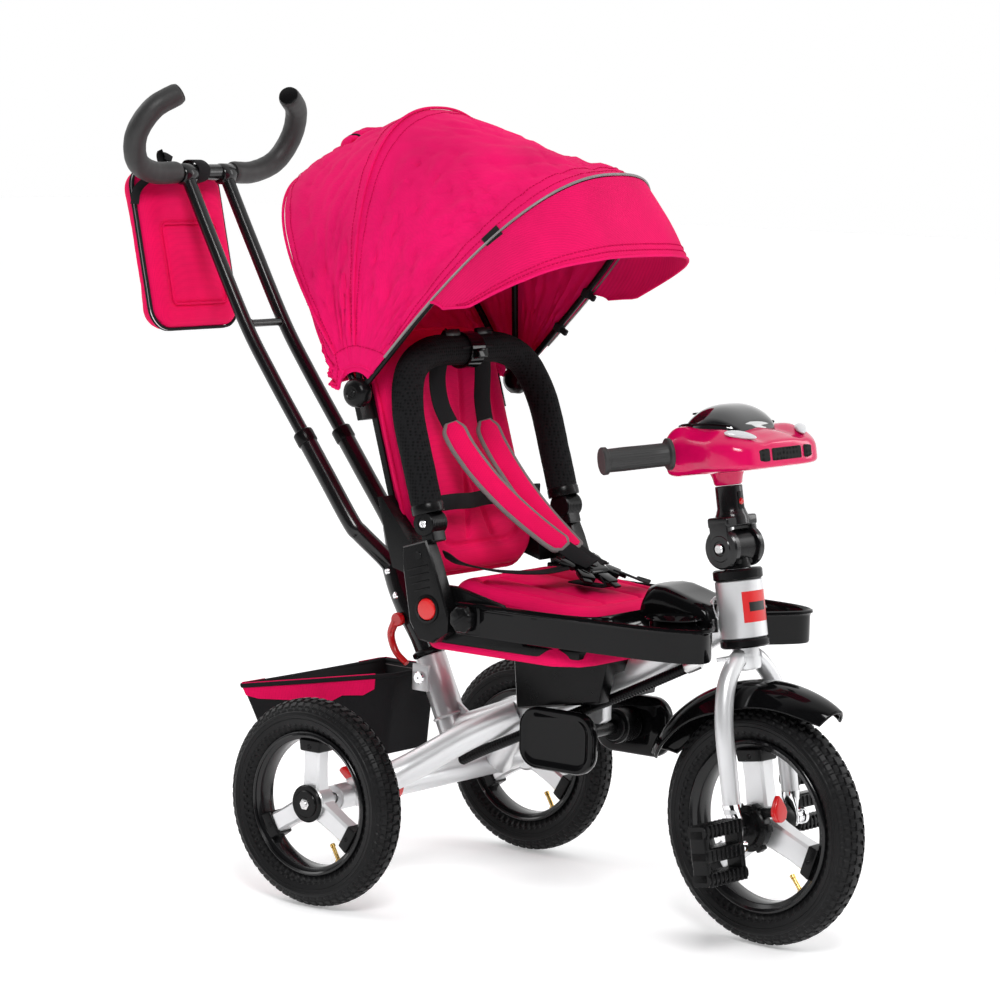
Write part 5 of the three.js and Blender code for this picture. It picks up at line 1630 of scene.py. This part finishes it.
def make_push_handle():
    bm = bmesh.new()
    for side in (-1, 1):
        x = side * 38
        sweep(bm, [pole_point(x, -3), pole_point(x, -60), pole_point(x, -132), pole_point(x * 0.84, -150),
                   (x * 0.34, 588, 411), (x * 0.05, 580, 396)], 12, 28, 8)
    sweep(bm, [(0, 584, 408), (0, 570, 374), (0, 556, 350), (0, 545, 334), (0, 530, 314), (0, 519.5, 295.5)],
          lambda t: 15.4 + 1.6 * min(1, t * 2.2), 32, 6)
    sweep(bm, [(0, 519.5, 295.5), (0, 484, 219)], 15.8, 28, 2, smooth=False)
    own(finish_mesh("push_sleeves", bm, WORLD, 45), "push_sleeve", "black_paint", "push_tube")
    bm = bmesh.new()
    down = Vector(pole_point(0, -1)) - Vector(pole_point(0, 0))
    for side in (-1, 1):
        lathe(bm, [(9.3, -8), (11.5, -8), (13.2, -6.5), (13.5, -4), (13.5, 9), (12.6, 10.4), (12, 10.4)], 40,
              facing(down, pole_point(side * 38, 0)))
    lathe(bm, [(15.9, 0), (21, 0), (22, 1.4), (22, 5.4), (20, 7), (15.9, 7)], 48,
          facing((0, 0.42, 0.908), (0, 516.6, 289.2)))
    own(finish_mesh("push_collars", bm, WORLD, 40), "push_sleeve", "satin")
    bm = bmesh.new()
    for y, z in ((577, 392), (563, 362)):
        bolt(bm, moved(-15.2, y, z, 180, "Z"), 4.4, 2.6)
    own(finish_mesh("push_screws", bm, WORLD, 40), "push_sleeve", "chrome")
    bm = bmesh.new()
    for side in (-1, 1):
        x = side * 38
        sweep(bm, [pole_point(x, -71), pole_point(x, 0), pole_point(x, 96), (x, 808, 698), (x, 866, 798),
                   (x, 912, 880)], 9, 24, 10)
        weld(bm, (x - side * 8, 808, 698), 5.4, (1, 0, 0), 1.2)
    sweep(bm, [(-38, 808, 698), (0, 808, 698), (38, 808, 698)], 5, 16, 2)
    sweep(bm, [(-52, 920, 892), (0, 920, 892), (52, 920, 892)], 11, 28, 2)
    for side in (-1, 1):
        disc(bm, moved(side * 38 - 12, 918, 890), 14, 24, 2.5, 40)
    own(finish_mesh("push_bars", bm, WORLD, 45), "push_handle", "black_paint", "push_poles")
    horn = [(53, 920, 892), (98, 921, 892.5), (136, 914, 908), (152, 900, 942), (140, 882, 976),
            (108, 868, 996)]
    for side, name in SIDES:
        bm = bmesh.new()
        points = [(side * x, y, z) for x, y, z in horn]

        def girth(t):
            return 14.8 * min(1.0, 0.9 + 5 * min(t, 1 - t)) * (1 + 0.006 * math.sin(t * 90))

        sweep(bm, points, girth, 32, 14)
        own(finish_mesh(f"push_grip_{name}_foam", bm, WORLD, 50), "push_handle", "foam", f"push_grip_{name}")
        bm = bmesh.new()
        tip = Vector(points[-1]) - Vector(points[-2])
        lathe(bm, [(0, 0), (13.2, 0), (13, 1.4), (10.5, 2.2), (0, 2.4)], 40, facing(tip, Vector(points[-1])))
        own(finish_mesh(f"push_cap_{name}", bm, WORLD, 40), "push_handle", "satin")
    bm = bmesh.new()
    sweep(bm, [(-23.4, 556, 331), (-23.4, 563, 312), (-23.4, 554, 291), (-23.4, 536, 278)],
          lambda t: 5.6 - 1.6 * t, 20, 10)
    disc(bm, moved(-19, 552, 333, 180, "Z"), 9, 9, 1.6, 32)
    own(finish_mesh("release_trigger", bm, WORLD, 45), "handle_release", "red", "release_lever")


def make_bag():
    place = shifted(WORLD, -15, 948, 790) @ turn(90 - 13, "X")
    pocket = border(104, 108, 10)
    seams = [lambda p: abs(p.z - 7) + (0 if abs(p.z - 7) < 2.5 else FAR),
             lambda p: pocket(Vector((p.x, p.y + 24, 0))) if p.z > 8 else FAR]
    bag = stuffed("bag_body", pad_mesh(164, 217, 42, 30), place, 0.0046, 4.0, 8, seams, seams[1:])
    own(bag, "push_handle", "pink_cloth", "bag")
    bm = bmesh.new()
    for z in (4.5, 9.5):
        sweep(bm, [(a, b, z) for a, b in rounded(166, 219, 30, 10)], 1.7, 8, 1, closed=True, smooth=False)
    own(finish_mesh("bag_piping", bm, place), "push_handle", "webbing")
    bm = bmesh.new()
    sweep(bm, [(a, b, 7) for a, b in rounded(166, 219, 30, 10)], 1.2, 8, 1, closed=True, smooth=False)
    block(bm, (5, 22, 4), moved(-72, 112, 8, 30, "Z"), 1.2, 2)
    own(finish_mesh("bag_zip", bm, place, 40), "push_handle", "zinc")
    bm = bmesh.new()
    strap(bm, [(-15, 938, 896), (-15, 934, 906), (-15, 918, 907), (-15, 906, 898), (-15, 910, 884),
               (-15, 926, 878)],
          22, 2.2)
    strap(bm, [(-45, 938, 890), (-52, 946, 902), (-48, 952, 914), (-38, 944, 908)], 18, 2)
    strap(bm, [(-75, 944, 888), (-98, 948, 870), (-104, 948, 850)], 14, 2, Vector((0, 0.9, 0.3)))
    own(finish_mesh("bag_loops", bm, WORLD), "push_handle", "webbing")
    # The pocket's edge stands off the front of the bag.
    ring_tube("bag_pocket", place, [(a, b - 24) for a, b in rounded(104, 108, 8, 6)], 22.5, 1.1, 8,
              "push_handle", "pink_cloth")


def make_basket():
    top = [(150, 716, 243), (46, 540, 266)]
    low = [(132, 700, 192), (46, 552, 160)]

    def corner_ring(rear, front, inset, bow):
        (rx, ry, rz), (fx, fy, fz) = rear, front
        corners = [(-rx + inset, ry - inset, rz), (rx - inset, ry - inset, rz), (fx - inset, fy + inset, fz),
                   (-fx + inset, fy + inset, fz)]
        ring = []
        for i in range(4):
            a, b = Vector(corners[i]), Vector(corners[(i + 1) % 4])
            for k in range(14):
                t = 0.04 + 0.92 * k / 13
                p = a.lerp(b, t)
                # Cloth between the corner stays bows in and sags.
                inward = Vector((0, 640, p.z)) - p
                inward.z = 0
                sag = math.sin(math.pi * t)
                p += inward.normalized() * (bow * sag) - Vector((0, 0, bow * 0.35 * sag))
                ring.append(p)
        return ring

    rows = []
    for k in range(13):
        t = k / 12
        mix = lambda a, b: tuple(a[i] + (b[i] - a[i]) * t for i in range(3))
        bow = 5 * math.sin(math.pi * t) + 1
        ring = corner_ring(mix(top[0], low[0]), mix(top[1], low[1]), 0.4, bow)
        ruck = Vector((1, 1, 0)) * 1.6 * math.sin(math.pi * t)
        rows.append([p + ruck * noise.noise(p * 0.02) for p in ring])
    for inset in (30, 60):
        ring = corner_ring(low[0], low[1], 0, 3)
        middle = sum(ring, Vector()) / len(ring)
        rows.append([p.lerp(middle, inset / 60) + Vector((0, 0, 1.0)) for p in ring])
    inside = []
    for i, row in enumerate(rows):
        middle = sum(row, Vector()) / len(row)
        lift = Vector((0, 0, 2.4 if i > 11 else 0))
        inside.append([p + (middle - p).normalized() * 2.4 + lift for p in row])
    bm = bmesh.new()
    from_grid(bm, rows + inside[::-1], closed_rows=True, closed_columns=True)
    own(finish_mesh("basket_cloth", bm, WORLD, 50), "chassis", "black_cloth", "basket")
    rim = rows[0]
    bm = bmesh.new()
    sweep(bm, [p - Vector((0, 0, 1.5)) for p in rim], 3.0, 12, 1, closed=True, smooth=False)
    own(finish_mesh("basket_rim", bm, WORLD), "chassis", "webbing")
    # Pink binding folded over the rim's right and left parts.
    away = lambda p: (p - Vector((0, 640, p.z))).normalized()
    for name, span in (("pink_right", range(-13, 3)), ("pink_left", range(11, 24))):
        bm = bmesh.new()
        strip = []
        for n, k in enumerate(span):
            k %= len(rim)
            edge = math.sin(math.pi * (n + 0.5) / len(span)) ** 0.5
            drop = [r[k] for r in rows[:5]]
            outer = [drop[0] + Vector((0, 0, 2.4))]
            outer += [p + away(p) * 1.3 for p in drop[:1 + round(1 + 3 * edge)]]
            while len(outer) < 6:
                outer.append(outer[-1] - Vector((0, 0, 0.4)))
            strip.append(outer + [p - away(p) * 1.1 for p in reversed(outer)])
        from_grid(bm, strip, closed_columns=True, caps=True)
        own(finish_mesh(f"basket_{name}", bm, WORLD, 60), "chassis", "pink_cloth")
    bm = bmesh.new()
    inner = [p + (Vector((0, 640, p.z)) - p).normalized() * 3 - Vector((0, 0, 7)) for p in rim]
    sweep(bm, inner, 1.1, 8, 1, closed=True, smooth=False)
    own(finish_mesh("basket_piping", bm, WORLD), "chassis", "grey_piping")


def make_brake():
    bm = bmesh.new()
    lathe(bm, [(16.6, -105), (19, -105), (20, -104), (20, -72), (19, -71), (16.6, -71)], 48,
          moved(0, 517, 130))
    extrude(bm, [(17, -6), (30, -4), (44, 0), (54, 7), (62, 14), (58, 19), (46, 15), (38, 10), (28, 8),
                 (17, 6)],
            Matrix.Translation((0, 517, 130)) @ side_view(-104), 32, 2, 3)
    for k in range(3):
        block(bm, (26, 3, 2.4), moved(-88, 517 + 45 + 6 * k, 130 + 12.6 + 2.4 * k, 25), 0.9, 2)
    own(finish_mesh("brake_lever", bm, WORLD, 35), "brake", "red", "brake_pedal")


for make in (make_camera, make_studio, make_rear_wheels, make_front_wheel, make_cranks, make_fork,
             make_fender, make_stem, make_canopy_flap, make_bows, make_canopy, make_visor, make_seat,
             make_backrest, make_harness, make_seat_parts, make_bumper, make_console, make_frame,
             make_conduit, make_tray, make_footrests, make_push_handle, make_bag, make_basket, make_brake):
    make()

# A CAD solid that still shows takes the plain black plastic.
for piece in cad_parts.values():
    if not piece.hide_render and not piece.data.materials:
        piece.data.materials.append(M["satin"])
